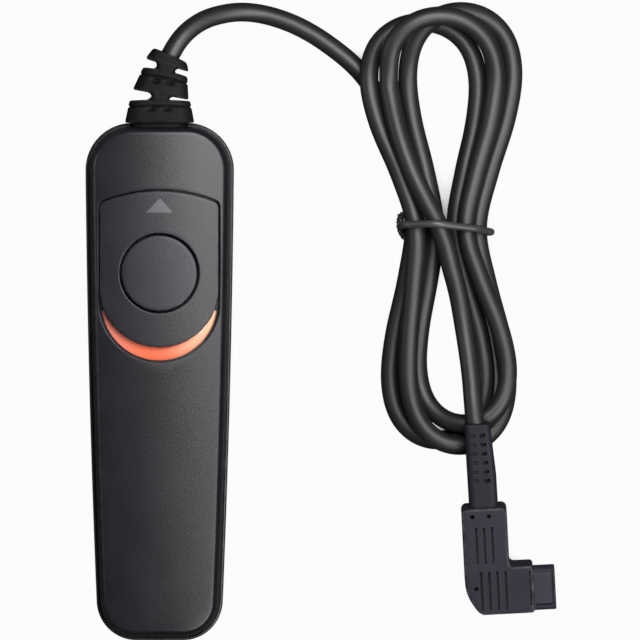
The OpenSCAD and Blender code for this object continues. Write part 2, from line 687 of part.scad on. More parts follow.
// The outermost strands at the waist, as [x, z] from the lower right round to the lower left
tie_corners = [[60.2, 3.3], [58.2, 7.1], [52.5, 9.9], [48.6, 7.4], [48.3, 3.3]];
tie_reach = cord_radius + tie_wire / 2 + 0.1;
function facing(a, b) = atan2(a[0] - b[0], b[1] - a[1]);
function tie_y(x, z) = 28.8 - 0.06 * (x - hank_centre[0]) + 0.006 * z * z;
tie_loop = [for (i = [0:len(tie_corners) - 1]) let (
    c = tie_corners[i],
    a0 = i == 0 ? -90 : facing(tie_corners[i - 1], c),
    a1 = i == len(tie_corners) - 1 ? 270 : facing(c, tie_corners[i + 1]))
    for (q = arc(c, tie_reach, a0, a1, 5)) [q[0], tie_y(q[0], q[1]), q[1]]];
module twist_tie() color("#3a3a3a") {
    closed_tube(tie_loop, tie_wire / 2, 8, [0, 1, 0]);
    // the twisted ends, lying along the strands
    tube([[45.8, 31.7, 0.9], [45.6, 30.9, 1.5], [45.5, 30, 2.3], [45.6, 29, 2.3], [46, 28.1, 1.5],
        [46.5, 27.4, 0.9]], tie_wire / 2, 8);
}

// ---- plug: drawn from its boot's top down -Y, nose to +X, then laid with its far end on the surface

plug_boot_length = 16;
plug_full = plug_boot_length + plug_length;
plug_turn = 3;
// The middle of the boot's top, a little to the right of the cord's end
plug_at = TAIL[len(TAIL) - 1] + 0.35 * [cos(plug_turn), sin(plug_turn), 0];
plug_rise = plug_at[2];
plug_half = plug_thickness / 2;
plug_tilt = asin(plug_rise / norm([plug_full, plug_half])) - atan2(plug_half, plug_full);
plug_axis = [sin(plug_turn) * cos(plug_tilt), -cos(plug_turn) * cos(plug_tilt), -sin(plug_tilt)];
module in_plug() translate(plug_at) rotate([0, 0, plug_turn]) rotate([plug_tilt, 0, 0]) children();

// A slab with an outline's edges rounded over, square to z
module pillow(points, half, edge) hull() {
    for (level = [[edge, half], [edge * 0.3, half - edge * 0.3], [0, half - edge]])
        translate([0, 0, -level[1]]) linear_extrude(2 * level[1]) offset(delta = -level[0]) polygon(points);
}

// The boot at stations of [distance down it, sideways shift, width, thickness]
plug_boot_stations = [[0, 0, 4.9, 4.2], [10, 0.42, 5.5, 4.7], [plug_boot_length - 0.1, 0.47, 5.5, 5]];
module plug_boot() color("#4c4d58") in_plug() difference() {
    hull() for (b = plug_boot_stations) translate([b[1], -b[0], 0]) rotate([90, 0, 0])
        linear_extrude(0.1) polygon(round_rect(b[2], b[3]));
    // two rows of flexing windows in each face
    for (i = [0:5], s = [-1, 1], face = [-1, 1])
        translate([0.07 * i + s * (0.95 + 0.03 * i) - 0.5, -2.45 - 1.735 * i, face * (2.15 + 0.03 * i) - 0.55])
            cube([1, 0.6, 1.1]);
}

body_top = -plug_boot_length;
body_end = body_top - plug_length;
arm_top = body_end + arm_height;
plug_edge = 0.6;
body_middle = 0.5;
module plug_body() color("#4c4d58") in_plug() difference() {
    union() {
        translate([body_middle, 0, 0]) pillow(concat(
            arc([plug_width / 2 - 1, body_top - 1], 1, 0, 90, 4),
            arc([-plug_width / 2 + 1, body_top - 1], 1, 90, 180, 4),
            // the sweep in to the foot
            [for (u = [0:0.2:1]) [-plug_width / 2 + 2.8 * u * u, body_end + 6.4 * (1 - u)]],
            [[plug_width / 2, body_end]]), plug_half, plug_edge);
        pillow([[0, body_end], [arm_reach, body_end], [arm_reach, arm_top], [0, arm_top]], plug_half, plug_edge);
    }
    // grip lines and moulding dots in the upper face
    for (i = [0:2]) translate([-1.4 + 1.5 * i, body_top - 10.6, plug_half - 0.15]) cube([0.4, 7, 1]);
    for (i = [0:3]) translate([-0.9 + 1.55 * i, body_end + 1, plug_half - 0.15]) cube([0.4, 7.4, 1]);
    for (p = [[-1.8, body_top - 1.5], [1.35, body_top - 1.5], [-1.75, body_end + 5.2]])
        translate([p[0], p[1], plug_half - 0.5]) cylinder(r = 0.4, h = 1, $fn = 12);
}

nose_y = body_end + arm_height / 2 - 0.35;
socket_at = [for (i = [-1:1]) nose_y + i * socket_pitch];
module plug_nose() color("#4c4d58") in_plug() difference() {
    translate([arm_reach, nose_y, 0]) rotate([90, 0, 90]) linear_extrude(nose_reach - arm_reach)
        polygon(round_rect(nose_height, nose_thickness));
    // a shallow panel in each face
    for (face = [-1, 1]) translate([arm_reach + 0.5, nose_y - nose_height / 2 + 1, face * nose_thickness / 2 - 0.2])
        cube([nose_reach - arm_reach - 1, nose_height - 2, 0.4]);
    for (y = socket_at) translate([arm_reach - 1, y, 0]) rotate([0, 90, 0])
        cylinder(r = socket_radius + contact_wall, h = nose_reach);
}
contact_wall = 0.35;
module plug_contacts() color("#c9a24a") in_plug() for (y = socket_at) translate([arm_reach, y, 0]) rotate([0, 90, 0])
    difference() {
        cylinder(r = socket_radius + contact_wall, h = nose_reach - arm_reach);
        translate([0, 0, nose_reach - arm_reach - socket_depth]) cylinder(r = socket_radius, h = socket_depth + 1);
    }

back_shell();
front_shell();
hold_mark();
hold_slider();
release_button();
button_spring();
spring_retainer();
carriage_screws();
circuit_board();
board_screws();
common_leaf();
focus_leaf();
shutter_leaf();
leaf_spacers();
leaf_rivets();
cable_clamp();
clamp_screws();
case_screws();
common_wire();
focus_wire();
shutter_wire();
cord_entry();
cord_boot();
cord_lead();
cord_hank();
cord_tail();
twist_tie();
plug_boot();
plug_body();
plug_nose();
plug_contacts();
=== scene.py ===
"""A wired shutter release remote: a handset with a sliding hold plate and a round button,
its cord tied in a hank, and a right-angle socket plug.

Lengths are in millimetres until a mesh is made. +Y runs up the handset towards its cord,
+Z out of its button, and the origin is the middle of its back.
"""
import json
import math

import bmesh
import bpy
import numpy as np
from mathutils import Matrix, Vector


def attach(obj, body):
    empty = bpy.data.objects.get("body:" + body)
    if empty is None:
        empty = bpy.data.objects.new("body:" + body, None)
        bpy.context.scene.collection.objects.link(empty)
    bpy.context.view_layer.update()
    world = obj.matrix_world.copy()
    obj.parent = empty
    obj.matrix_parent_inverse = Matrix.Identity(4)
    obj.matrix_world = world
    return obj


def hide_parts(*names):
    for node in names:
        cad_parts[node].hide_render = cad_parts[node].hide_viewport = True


MM = 0.001
TURN = 2 * math.pi
SOFT_EDGE = math.radians(38)

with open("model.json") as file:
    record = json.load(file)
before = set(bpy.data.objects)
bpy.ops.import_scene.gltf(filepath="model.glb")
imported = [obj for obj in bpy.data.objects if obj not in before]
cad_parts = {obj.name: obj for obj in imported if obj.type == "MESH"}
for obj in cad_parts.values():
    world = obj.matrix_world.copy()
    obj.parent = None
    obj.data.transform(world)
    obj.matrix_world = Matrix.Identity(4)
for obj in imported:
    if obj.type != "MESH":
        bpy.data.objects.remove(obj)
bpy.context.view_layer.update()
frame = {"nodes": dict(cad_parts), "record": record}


# ---- sizes that the solids share

BODY_LENGTH, BODY_WIDTH, BODY_TAPER, BODY_THICKNESS = 98.0, 28.1, 4.2, 18.0
CROWN_RADIUS = 55.0
CROWN_AXIS = BODY_THICKNESS - CROWN_RADIUS
CORD_CORNER, FAR_CORNER = 8.9, 7.6
PARTING, RIM_STEP, PARTING_GROOVE = 8.6, 0.7, 0.3
INNER_STEP, TONGUE_STEP = 1.9, 1.4
FACE_WALL, BACK_WALL = 1.6, 1.6
SHADOW_FLOOR = PARTING - 0.8
ROLL_WIDTH, ROLL_HEIGHT = 1.2, 2.2
ROLL_START = RIM_STEP + 0.2

POCKET_HALF, POCKET_TOP, POCKET_ROUND = 11.5, 36.3, 15.2
POCKET_ARC, POCKET_CORNER = 29.0, 1.5
POCKET_DEPTH, POCKET_FLOOR = 1.7, 1.2
SLIDER_ROUND, SLIDE_GAP, SLIDER_THICKNESS = 17.7, 0.25, 1.45
HOLD_TRAVEL = 2.5
# a wing and its hook: inner and outer side, half length, lowest and highest point
WINGS = ((8.25, 9.95), 4.0, (9.1, 15.9)), ((9.5, 10.7), 3.5, (12.4, 13.8))

BUTTON_Y, BUTTON_RADIUS, BUTTON_SINK = 20.5, 7.15, 0.15
COLLAR_BORE, COLLAR_OUTER, COLLAR_BOTTOM = 7.55, 8.45, 12.6
FLANGE_RADIUS, FLANGE_BOTTOM, FLANGE_TOP = 8.25, 11.6, 12.5
STEM_RADIUS, STEM_TIP, STEM_EDGE = 1.5, 7.0, 0.15
BUTTON_ROOF, BUTTON_WALL = 16.25, 1.2
WAY_RADIUS, WAY_HALF, WAY_ENDS = 8.75, 10.25, (13.7, 24.8)
CHAMFER = 0.1

CASE_SCREWS = [(0, -39.5), (-9.2, 41.5), (9.2, 41.5)]
BOARD_POSTS = [(-6.8, 9.5), (6.8, 9.5), (-6.8, 32), (6.8, 32)]

CORD_RADIUS = 1.8
CORD_HEIGHT = PARTING
PLUG_TURN, PLUG_TILT = math.radians(3), math.radians(10.9686)
PLUG_BOOT, PLUG_FULL, PLUG_HALF = 16.0, 36.6, 3.5
PLUG_SIDE = 0.35
ARM_TOP, ARM_REACH = -27.5, 9.2
NOSE_Y, NOSE_REACH, NOSE_HALF, NOSE_THICK = -32.4, 13.3, 4.1, 2.5
SOCKET_PITCH, SOCKET_BORE = 2.5, 0.85


# ---- camera

VIEW_CENTRE = (30.37, 11.66)
VIEW_SPAN = 121.21
CAMERA_HEIGHT = 4000.0
SENSOR = 36.0


def new_object(name, data):
    """An object in the scene, made from its data."""
    made = bpy.data.objects.new(name, data)
    bpy.context.scene.collection.objects.link(made)
    return made


def make_camera():
    """Looks straight down, with +Y up in its frame."""
    data = bpy.data.cameras.new("camera")
    data.sensor_width = SENSOR
    data.lens = SENSOR * CAMERA_HEIGHT / VIEW_SPAN
    data.clip_start, data.clip_end = 0.05, 20
    camera = new_object("camera", data)
    camera.location = (VIEW_CENTRE[0] * MM, VIEW_CENTRE[1] * MM, (CAMERA_HEIGHT + PARTING) * MM)
    bpy.context.scene.camera = camera


make_camera()
bpy.context.scene.view_settings.view_transform = "Standard"


# ---- curves and skins

def smooth_through(points, share):
    """Catmull-Rom curve through the points, at the values in share, where whole numbers are the points."""
    p = np.asarray(points, float)
    i = np.clip(share.astype(int), 0, len(p) - 2)
    t = (share - i).reshape(-1, *[1] * (p.ndim - 1))
    a, b, c, d = p[np.maximum(i - 1, 0)], p[i], p[i + 1], p[np.minimum(i + 2, len(p) - 1)]
    return 0.5 * (2 * b + (c - a) * t + (2 * a - 5 * b + 4 * c - d) * t**2 + (3 * b - a - 3 * c + d) * t**3)


def spaced(points, step):
    """The points again, at even distances of about step along their line."""
    p = np.asarray(points, float)
    way = np.concatenate([[0], np.cumsum(np.linalg.norm(np.diff(p, axis=0), axis=1))])
    at = np.linspace(0, way[-1], int(round(way[-1] / step)) + 1)
    return np.stack([np.interp(at, way, p[:, k]) for k in range(p.shape[1])], 1)


def eased(points, passes):
    """Each point moves to a quarter, a half and a quarter of its neighbours and itself; the ends stay."""
    p = np.array(points, float)
    for _ in range(passes):
        p[1:-1] = 0.25 * p[:-2] + 0.5 * p[1:-1] + 0.25 * p[2:]
    return p


def unit(v):
    """Each vector divided by its length."""
    return v / np.linalg.norm(v, axis=-1, keepdims=True)


def quarter(count):
    """Angles from 0 to a quarter turn, evenly apart."""
    return np.linspace(0, math.pi / 2, count)


def at_height(flat, z):
    """Points in plan, raised to a height."""
    return np.column_stack([flat, np.broadcast_to(z, len(flat))])


def path_frames(points, flat):
    """Direction, side and up at each point: the side is square to the path and to flat."""
    along = unit(np.gradient(points, axis=0))
    side = unit(np.cross(along, np.broadcast_to(flat, along.shape)))
    return along, side, np.cross(side, along)


CAP_BULGE = 0.6
CAP_BENDS = np.array([0, 0.35, 0.7, 0.9, 1.0]) * math.pi / 2


def swept(points, radius, sides, flat=(0, 0, 1)):
    """Rings of a round tube: centre + radius (cos a side + sin a up), with a domed cap at each end."""
    p = np.asarray(points, float)
    along, side, up = path_frames(p, flat)

    def cap(i, way, bends):
        return [(p[i] + way * along[i] * radius * CAP_BULGE * math.cos(b), side[i], up[i],
                 radius * math.sin(b)) for b in bends]

    rows = cap(0, -1, CAP_BENDS[:-1]) + list(zip(p, side, up, np.full(len(p), float(radius))))
    rows += cap(-1, 1, CAP_BENDS[-2::-1])
    centre, side, up, r = (np.array(column) for column in zip(*rows))
    a = np.linspace(0, TURN, sides, endpoint=False)[None, :, None]
    return centre[:, None] + r[:, None, None] * (np.cos(a) * side[:, None] + np.sin(a) * up[:, None])


def swept_loop(points, radius, sides, flat):
    """Rings of a round tube whose path comes back to its first point."""
    p = np.asarray(points, float)
    along = unit(np.roll(p, -1, 0) - np.roll(p, 1, 0))
    side = unit(np.cross(along, flat))
    up = np.cross(side, along)
    a = np.linspace(0, TURN, sides, endpoint=False)[None, :, None]
    return p[:, None] + radius * (np.cos(a) * side[:, None] + np.sin(a) * up[:, None])


def skin(rings, wrap=False, wear_and_sheen=None):
    """Vertices, four-sided faces and wear of a grid of rings, each ring closed; wrap joins the last to the
    first. Without wrap, the first and last rings are drawn together in a point. The wear values carry rubbed
    wear, and on the front shell's left edge a painted highlight."""
    rings = np.asarray(rings, float)
    if not wrap:
        first, last = rings[:1].mean(1, keepdims=True), rings[-1:].mean(1, keepdims=True)
        rings = np.concatenate([np.broadcast_to(first, rings[:1].shape), rings,
                                np.broadcast_to(last, rings[:1].shape)])
        if wear_and_sheen is not None:
            wear_and_sheen = np.concatenate([wear_and_sheen[:1], wear_and_sheen, wear_and_sheen[-1:]])
    rows, columns = rings.shape[:2]
    index = np.arange(rows * columns).reshape(rows, columns)
    if wrap:
        index = np.concatenate([index, index[:1]])
    a, b = index[:-1], index[1:]
    faces = np.stack([a, np.roll(a, -1, 1), np.roll(b, -1, 1), b], -1).reshape(-1, 4)
    worn_and_sheen = np.broadcast_to(0.0 if wear_and_sheen is None else np.reshape(wear_and_sheen, (rows, -1)), (rows, columns))
    return rings.reshape(-1, 3), faces, worn_and_sheen.reshape(-1)


def block(low, high, edge=0.15):
    """A box between two corners as a grid of rings, with its edges rounded over by edge."""
    low, high = np.asarray(low, float), np.asarray(high, float)
    half = (high - low) / 2
    edge = min(edge, half.min() * 0.9)
    levels = [(-half[2] + edge * (1 - math.cos(b)), edge * (1 - math.sin(b))) for b in quarter(4)]
    levels += [(-z, inset) for z, inset in levels[::-1]]
    corner = np.concatenate([np.linspace(q, q + math.pi / 2, 4) for q in np.arange(4) * math.pi / 2])
    sign = np.stack([np.repeat([1, -1, -1, 1], 4), np.repeat([1, 1, -1, -1], 4)], 1)
    rings = []
    for z, inset in levels:
        r = max(edge - inset, 0.01)
        flat = sign * (half[:2] - inset - r) + r * np.stack([np.cos(corner), np.sin(corner)], 1)
        rings.append(at_height(flat, z))
    return skin(np.array(rings) + (low + high) / 2)


def turned(profile, centre, sides):
    """A profile of [radius, height] pairs turned about an upright axis."""
    a = np.linspace(0, TURN, sides, endpoint=False)
    q = np.asarray(profile, float)
    rings = np.stack([centre[0] + q[:, :1] * np.cos(a), centre[1] + q[:, :1] * np.sin(a),
                      np.broadcast_to(q[:, 1:], (len(q), sides))], -1)
    return skin(rings)


def posts(profile, places, sides):
    """The same profile turned about an upright axis at each place."""
    return [turned(profile, place, sides) for place in places]


def make_mesh(name, parts):
    """One mesh from several skins, in metres, with doubled points merged and the faces turned outwards."""
    points, faces, wear_and_sheen, base = [], [], [], 0
    for v, f, w in parts:
        points.append(v)
        faces.append(f + base)
        wear_and_sheen.append(w)
        base += len(v)
    data = bpy.data.meshes.new(name)
    data.from_pydata((np.concatenate(points) * MM).tolist(), [], np.concatenate(faces).tolist())
    # The wear attribute: rubbed edges, and on the front shell's left rolled edge a painted highlight.
    worn_and_sheen = data.attributes.new("wear_and_sheen", "FLOAT", "POINT")
    worn_and_sheen.data.foreach_set("value", np.concatenate(wear_and_sheen).astype(np.float32))
    bm = bmesh.new()
    bm.from_mesh(data)
    bmesh.ops.remove_doubles(bm, verts=bm.verts, dist=1e-7)
    bmesh.ops.dissolve_degenerate(bm, edges=bm.edges, dist=1e-7)
    bmesh.ops.recalc_face_normals(bm, faces=bm.faces)
    bm.to_mesh(data)
    bm.free()
    return data


def make_piece(name, parts, body, nodes, slot, finish=None):
    """A finished piece of the object from skins: it rides on a body, stands for CAD nodes, and has its
    slot's finish unless another one is given."""
    data = parts if isinstance(parts, bpy.types.Mesh) else make_mesh(name, parts)
    data.shade_smooth()
    data.set_sharp_from_angle(angle=SOFT_EDGE)
    piece = new_object(name, data)
    data.materials.clear()
    data.materials.append(finish or FINISHES[slot])
    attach(piece, body)
    if nodes:
        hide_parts(*nodes)
    return piece


def carved(data, tools, operation):
    """The mesh with the tools' solids added (UNION) or taken away (DIFFERENCE)."""
    base, tool = new_object("carving", data), new_object("carving tool", make_mesh("carving tool", tools))
    change = base.modifiers.new("carve", "BOOLEAN")
    change.operation, change.object, change.solver = operation, tool, "EXACT"
    change.use_self = True
    result = bpy.data.meshes.new_from_object(base.evaluated_get(bpy.context.evaluated_depsgraph_get()))
    for o in (base, tool):
        bpy.data.objects.remove(o)
    return result


# ---- the cord's route

LEAD = [[2, 61.8, 8.6], [3.5, 64.4, 8.3], [5.5, 66.6, 7.4], [8.3, 68.5, 5.9], [11.6, 69.6, 4.2],
        [15.2, 70.1, 2.8], [18.8, 69.8, 2], [22.4, 68.9, 1.9], [26.2, 67.4, 1.9], [30.1, 65.2, 1.9],
        [34, 62.4, 1.9], [36.8, 60, 1.9], [39.2, 57.3, 1.9], [41.2, 54, 1.9], [42.9, 50.2, 1.9],
        [44.4, 45.6, 1.9], [45.9, 40.2, 2], [47.3, 34.6, 2.7], [48.3, 29.1, 3.3]]
TAIL = [[43.5, 57.4, 7.8], [43.95, 53, 8.2], [44.9, 48.5, 9.1], [46.3, 43.8, 9.9], [48.1, 39.1, 10.3],
        [50.3, 34.5, 10.3], [52.5, 30.3, 9.8], [54.1, 26, 9], [55.2, 21.6, 8], [56.5, 16.8, 7.3],
        [57.5, 11.3, 7.2], [58.4, 5.6, 7.9], [59, 0.8, 9.1], [59.35, -3.6, 10.1], [59.7, -7.8, 10.4]]
HANK_CENTRE = np.array([54.2, 29.1])
HANK_RINGS = 24
WAIST_SOFT = 0.16
LOBE_LEAN = np.array([-1.4, -4.5, 2.6, 2.9, 3.5, -1])
LOBE_WIDTH = np.array([18.4, 21.2, 18.6, 20.4, 17.5, 21.3])
LOBE_DEPTH = np.array([40.3, 39.1, 41.3, 41.1, 37.2, 40.2])
WAIST_SLOT = np.array([-5.9, 1.9, -5.6, 6, -2, 3.8, 0])
LAYERS_A_TURN = 16
LAYERS = [3.3, 2.3, 1.9, 1.9, 1.9, 1.9, 1.9, 2.3, 3.3, 2.3, 2, 1.9, 2, 3, 5.9, 6.2,
          7.4, 6.8, 6.2, 6.2, 5.5, 3.1, 2, 2.7, 3.3, 2.3, 2.1, 3.1, 6, 6.2, 2.7, 2.3,
          3.3, 2.5, 2.2, 3.4, 6, 6.5, 6.2, 6.7, 7.1, 6.5, 6.2, 9.1, 10.5, 10.4, 7.8]


def hank_points(t):
    """Figure-of-eight turns: y = -depth sin a; x = lean + slot at the waist - cos a width open, where open
    grows from 0 at the waist to 1 at the end of a lobe; the height runs smoothly through LAYERS."""
    a = TURN * t
    s = np.abs(np.sin(a))
    opened = (np.sqrt(s**2 + WAIST_SOFT**2) - WAIST_SOFT) / (math.sqrt(1 + WAIST_SOFT**2) - WAIST_SOFT)
    kept = (1 - opened) ** 2
    lobe = np.minimum((2 * t + 1e-9).astype(int), len(LOBE_LEAN) - 1)
    slot = WAIST_SLOT[(2 * t + 0.5).astype(int)]
    x = HANK_CENTRE[0] + LOBE_LEAN[lobe] * (1 - kept) + slot * kept - np.cos(a) * LOBE_WIDTH[lobe] * opened
    y = HANK_CENTRE[1] - LOBE_DEPTH[lobe] * np.sin(a)
    return np.stack([x, y, smooth_through(LAYERS, LAYERS_A_TURN * t)], 1)


def cord_route(step):
    """The whole centre line from the handset's boot through the hank to the plug's boot."""
    ends = (len(LAYERS) - 1) / LAYERS_A_TURN
    knots = np.concatenate([LEAD[:-1], hank_points(np.arange(0, ends + 1e-6, 1 / HANK_RINGS)), TAIL[1:]])
    fine = smooth_through(knots, np.linspace(0, len(knots) - 1, 16 * len(knots)))
    return spaced(eased(spaced(fine, step), 4), step)


ROUTE = cord_route(0.8)


# ---- outlines of the handset, its pocket and its slider

def arc(centre, radius, a0, a1, steps):
    """Points of a circle, centre + radius (cos a, sin a), with a from a0 to a1 degrees."""
    a = np.radians(np.linspace(a0, a1, steps + 1))[:, None]
    return np.asarray(centre, float) + radius * np.concatenate([np.cos(a), np.sin(a)], 1)


def body_outline(inset):
    """Closed outline of the handset moved in by inset: round corners, and sides that narrow by
    half the taper times 0.38 u + 0.62 u^2 a share u of the way down."""
    def side_x(u):
        return BODY_WIDTH / 2 - BODY_TAPER / 2 * (0.38 * u + 0.62 * u * u)
    u = np.linspace(1, 0, 44)[1:-1]
    top, bottom = BODY_LENGTH / 2 - CORD_CORNER, FAR_CORNER - BODY_LENGTH / 2
    right = np.concatenate([
        arc((side_x(1) - FAR_CORNER, bottom), FAR_CORNER - inset, -90, 0, 16),
        np.stack([side_x(u) - inset, top * (1 - u) + bottom * u], 1),
        arc((side_x(0) - CORD_CORNER, top), CORD_CORNER - inset, 0, 90, 16)])
    return np.concatenate([right, right[::-1] * (-1, 1)])


def pocket_outline(inset, round_y):
    """Closed outline of the pocket: a half round below, straight sides, small corners and an arc along
    the top."""
    top_y = POCKET_TOP - POCKET_ARC
    cx = POCKET_HALF - POCKET_CORNER
    cy = top_y + math.sqrt((POCKET_ARC - POCKET_CORNER) ** 2 - cx * cx)
    turn = math.degrees(math.atan2(cy - top_y, cx))
    return np.concatenate([
        arc((0, round_y), POCKET_HALF - inset, -180, 0, 60),
        arc((cx, cy), POCKET_CORNER - inset, 0, turn, 6),
        arc((0, top_y), POCKET_ARC - inset, turn + 1, 179 - turn, 24),
        arc((-cx, cy), POCKET_CORNER - inset, 180 - turn, 180, 6)])


def way_outline():
    """Closed outline of the way through the pocket's floor: two rounds and the box that the wings need."""
    a = np.radians(np.arange(0, 360, 2.0))
    way = np.stack([np.cos(a), np.sin(a)], 1)
    middle = np.array([0, POCKET_ROUND])
    rounds = [reach(arc((0, y), WAY_RADIUS, 0, 358, 179), middle, a)
              for y in (BUTTON_Y - HOLD_TRAVEL, BUTTON_Y)]
    low, high = WAY_ENDS
    box = np.array([[WAY_HALF, low], [WAY_HALF, high], [-WAY_HALF, high], [-WAY_HALF, low]])
    return middle + way * np.maximum(np.maximum(*rounds), reach(box, middle, a))[:, None]


def crown(x):
    """Height of the crowned face at a distance x from the middle."""
    return CROWN_AXIS + np.sqrt(CROWN_RADIUS**2 - x * x)


def cross(a, b):
    """Cross product of directions in plan, ax by - ay bx."""
    return a[:, 0] * b[:, 1] - a[:, 1] * b[:, 0]


def reach(loop, centre, angles):
    """Distance from a centre to a closed loop along each angle, where a ray crosses the loop's sides."""
    p = np.asarray(loop, float) - centre
    a = np.unwrap(np.arctan2(p[:, 1], p[:, 0]))
    if a[-1] < a[0]:
        p, a = p[::-1], a[::-1]
    q, turn = np.vstack([p, p[:1]]), np.append(a, a[0] + TURN)
    wanted = (angles - turn[0]) % TURN + turn[0]
    i = np.clip(np.searchsorted(turn, wanted, side="right") - 1, 0, len(p) - 1)
    start, run = q[i], q[i + 1] - q[i]
    way = np.stack([np.cos(angles), np.sin(angles)], 1)
    return cross(start, run) / cross(way, run)


RAY_STEP = math.radians(0.25)


def ray_angles(loops, centre):
    """The angles at which rays from a centre meet the loops' points, one at most in each ray step."""
    p = np.concatenate([np.asarray(loop, float) - centre for loop in loops])
    a = np.sort(np.arctan2(p[:, 1], p[:, 0]))
    cells = np.round(a / RAY_STEP).astype(int)
    return a[np.unique(cells, return_index=True)[1]]


class Rays:
    """Rays from a centre, at angles that suit the loops; each ring of a skin has one point on every ray."""
    def __init__(self, centre, loops):
        self.centre = np.array(centre, float)
        self.angles = ray_angles(loops, self.centre)
        self.way = np.stack([np.cos(self.angles), np.sin(self.angles)], 1)
        self.rings, self.wear_and_sheen = [], []

    def to(self, loop):
        """Distance to a closed loop along each ray."""
        return reach(loop, self.centre, self.angles)

    def out(self, inset):
        """Distance to the handset's outline, moved in by inset."""
        return self.to(body_outline(inset))

    def ring(self, distance, height):
        """Points at a distance along the rays; height is a number, or a function of x."""
        flat = self.centre + self.way * np.reshape(distance, (-1, 1))
        return at_height(flat, height(flat[:, 0]) if callable(height) else height)

    def add(self, distance, height, worn_and_sheen=0.0):
        """The next ring of the skin, and how much it is worn; on the front shell's left rolled edge this
        value paints a highlight.
        """
        self.rings.append(self.ring(distance, height))
        self.wear_and_sheen.append(np.broadcast_to(worn_and_sheen, self.angles.shape))

    def skin(self, wrap=False):
        """The skin of all rings added so far."""
        return skin(np.array(self.rings), wrap, np.array(self.wear_and_sheen))


# ---- handset shells

def below_crown(depth):
    """The crowned face lowered by a depth, as a function of x."""
    return lambda x: crown(x) - depth


LIP_INWARD, LIP_RISE = 0.05, 0.18
POCKET_WALL, POCKET_EDGE = 1.4, 0.22
FACE_END = ROLL_START + ROLL_WIDTH
# How far in from the left side the painted highlight on the rolled edge reaches.
PAINTED_SHEEN_REACH = 9
SEAT_STEP, SEAT_HEIGHT, SEAT_EDGE = TONGUE_STEP - 0.1, 0.8, 0.05
INSIDE_SLOPE, INSIDE_STOP = 0.3, 4


def front_shell_skin():
    """Closed grid of rings: the parting face, the side, the rolled edge (inset 1 - cos, drop 1 - sin), the
    crowned face in to the pocket, the pocket's rounded edge, wall and floor, then the inside back out."""
    rays = Rays((0, POCKET_ROUND), [body_outline(0), body_outline(FACE_END), pocket_outline(0, POCKET_ROUND),
                                    way_outline()])
    out, add = rays.out, rays.add
    pocket = rays.to(pocket_outline(0, POCKET_ROUND))
    way = rays.to(way_outline())
    inner = out(INNER_STEP)
    under = np.minimum(rays.to(pocket_outline(-POCKET_WALL, POCKET_ROUND)), inner - 0.05)
    # The rolled edge is made lighter only on the left: a painted highlight in the worn colour. On the right
    # the wear is below 0, a polish that only lowers the roughness.
    left = np.clip(-rays.ring(out(0), 0)[:, 0] / PAINTED_SHEEN_REACH, 0, 1)
    add(out(RIM_STEP + PARTING_GROOVE), PARTING)
    add(out(RIM_STEP + LIP_INWARD), PARTING + LIP_RISE)
    add(out(RIM_STEP), PARTING + PARTING_GROOVE)
    low, side_top = PARTING + PARTING_GROOVE, below_crown(ROLL_HEIGHT)
    for share in np.linspace(0.15, 0.85, 4):
        inset = RIM_STEP + (ROLL_START - RIM_STEP) * share
        add(out(inset), lambda x: low + (side_top(x) - low) * share, left - 1)
    # The rolled edge: on the left, wear above 0 paints a highlight along it; on the right, wear below 0
    # polishes it.
    for bend in quarter(13):
        drop = ROLL_HEIGHT * (1 - math.sin(bend))
        add(out(ROLL_START + ROLL_WIDTH * (1 - math.cos(bend))), below_crown(drop),
            left * math.sin(2 * bend) + (left - 1) * min(1.0, 1.6 * math.cos(bend)))
    face = out(FACE_END)
    edge = np.minimum(POCKET_EDGE, 0.8 * (face - pocket))
    for share in np.linspace(0, 1, 26)[1:]:
        add(face + (pocket + edge - face) * share, crown)
    for bend in quarter(6)[1:]:
        add(pocket + edge * (1 - math.sin(bend)), lambda x: crown(x) - edge * (1 - math.cos(bend)),
            0.8 * math.sin(2 * bend))
    add(pocket, below_crown(POCKET_DEPTH * 0.6))
    for share in np.linspace(0, 1, 6):
        add(pocket + (way - pocket) * share, below_crown(POCKET_DEPTH))
    for share in np.linspace(0, 1, 4):
        add(way + (under - way) * share, below_crown(POCKET_DEPTH + POCKET_FLOOR))
    for share in np.linspace(0, 1, 5):
        add(under + (inner - under) * share, below_crown(FACE_WALL + INSIDE_SLOPE * (1 - share)))
    add(inner, PARTING + INSIDE_STOP)
    add(inner, PARTING + SEAT_HEIGHT + SEAT_EDGE)
    add(out(SEAT_STEP), PARTING + SEAT_HEIGHT)
    add(out(SEAT_STEP), PARTING)
    return rays.skin(wrap=True)


EDGE_WIDTH, EDGE_HEIGHT = 2.6, 3.0
RIM_LOW, RIM_INWARD, RIM_RISE = 8.1, 0.4, 0.5
SHADOW_GROOVE = (0.43, 0.97)
LEDGE = 1.0
TONGUE_HEIGHT, TONGUE_EDGE = 0.7, 0.08
FLOOR_CORNER = 0.5


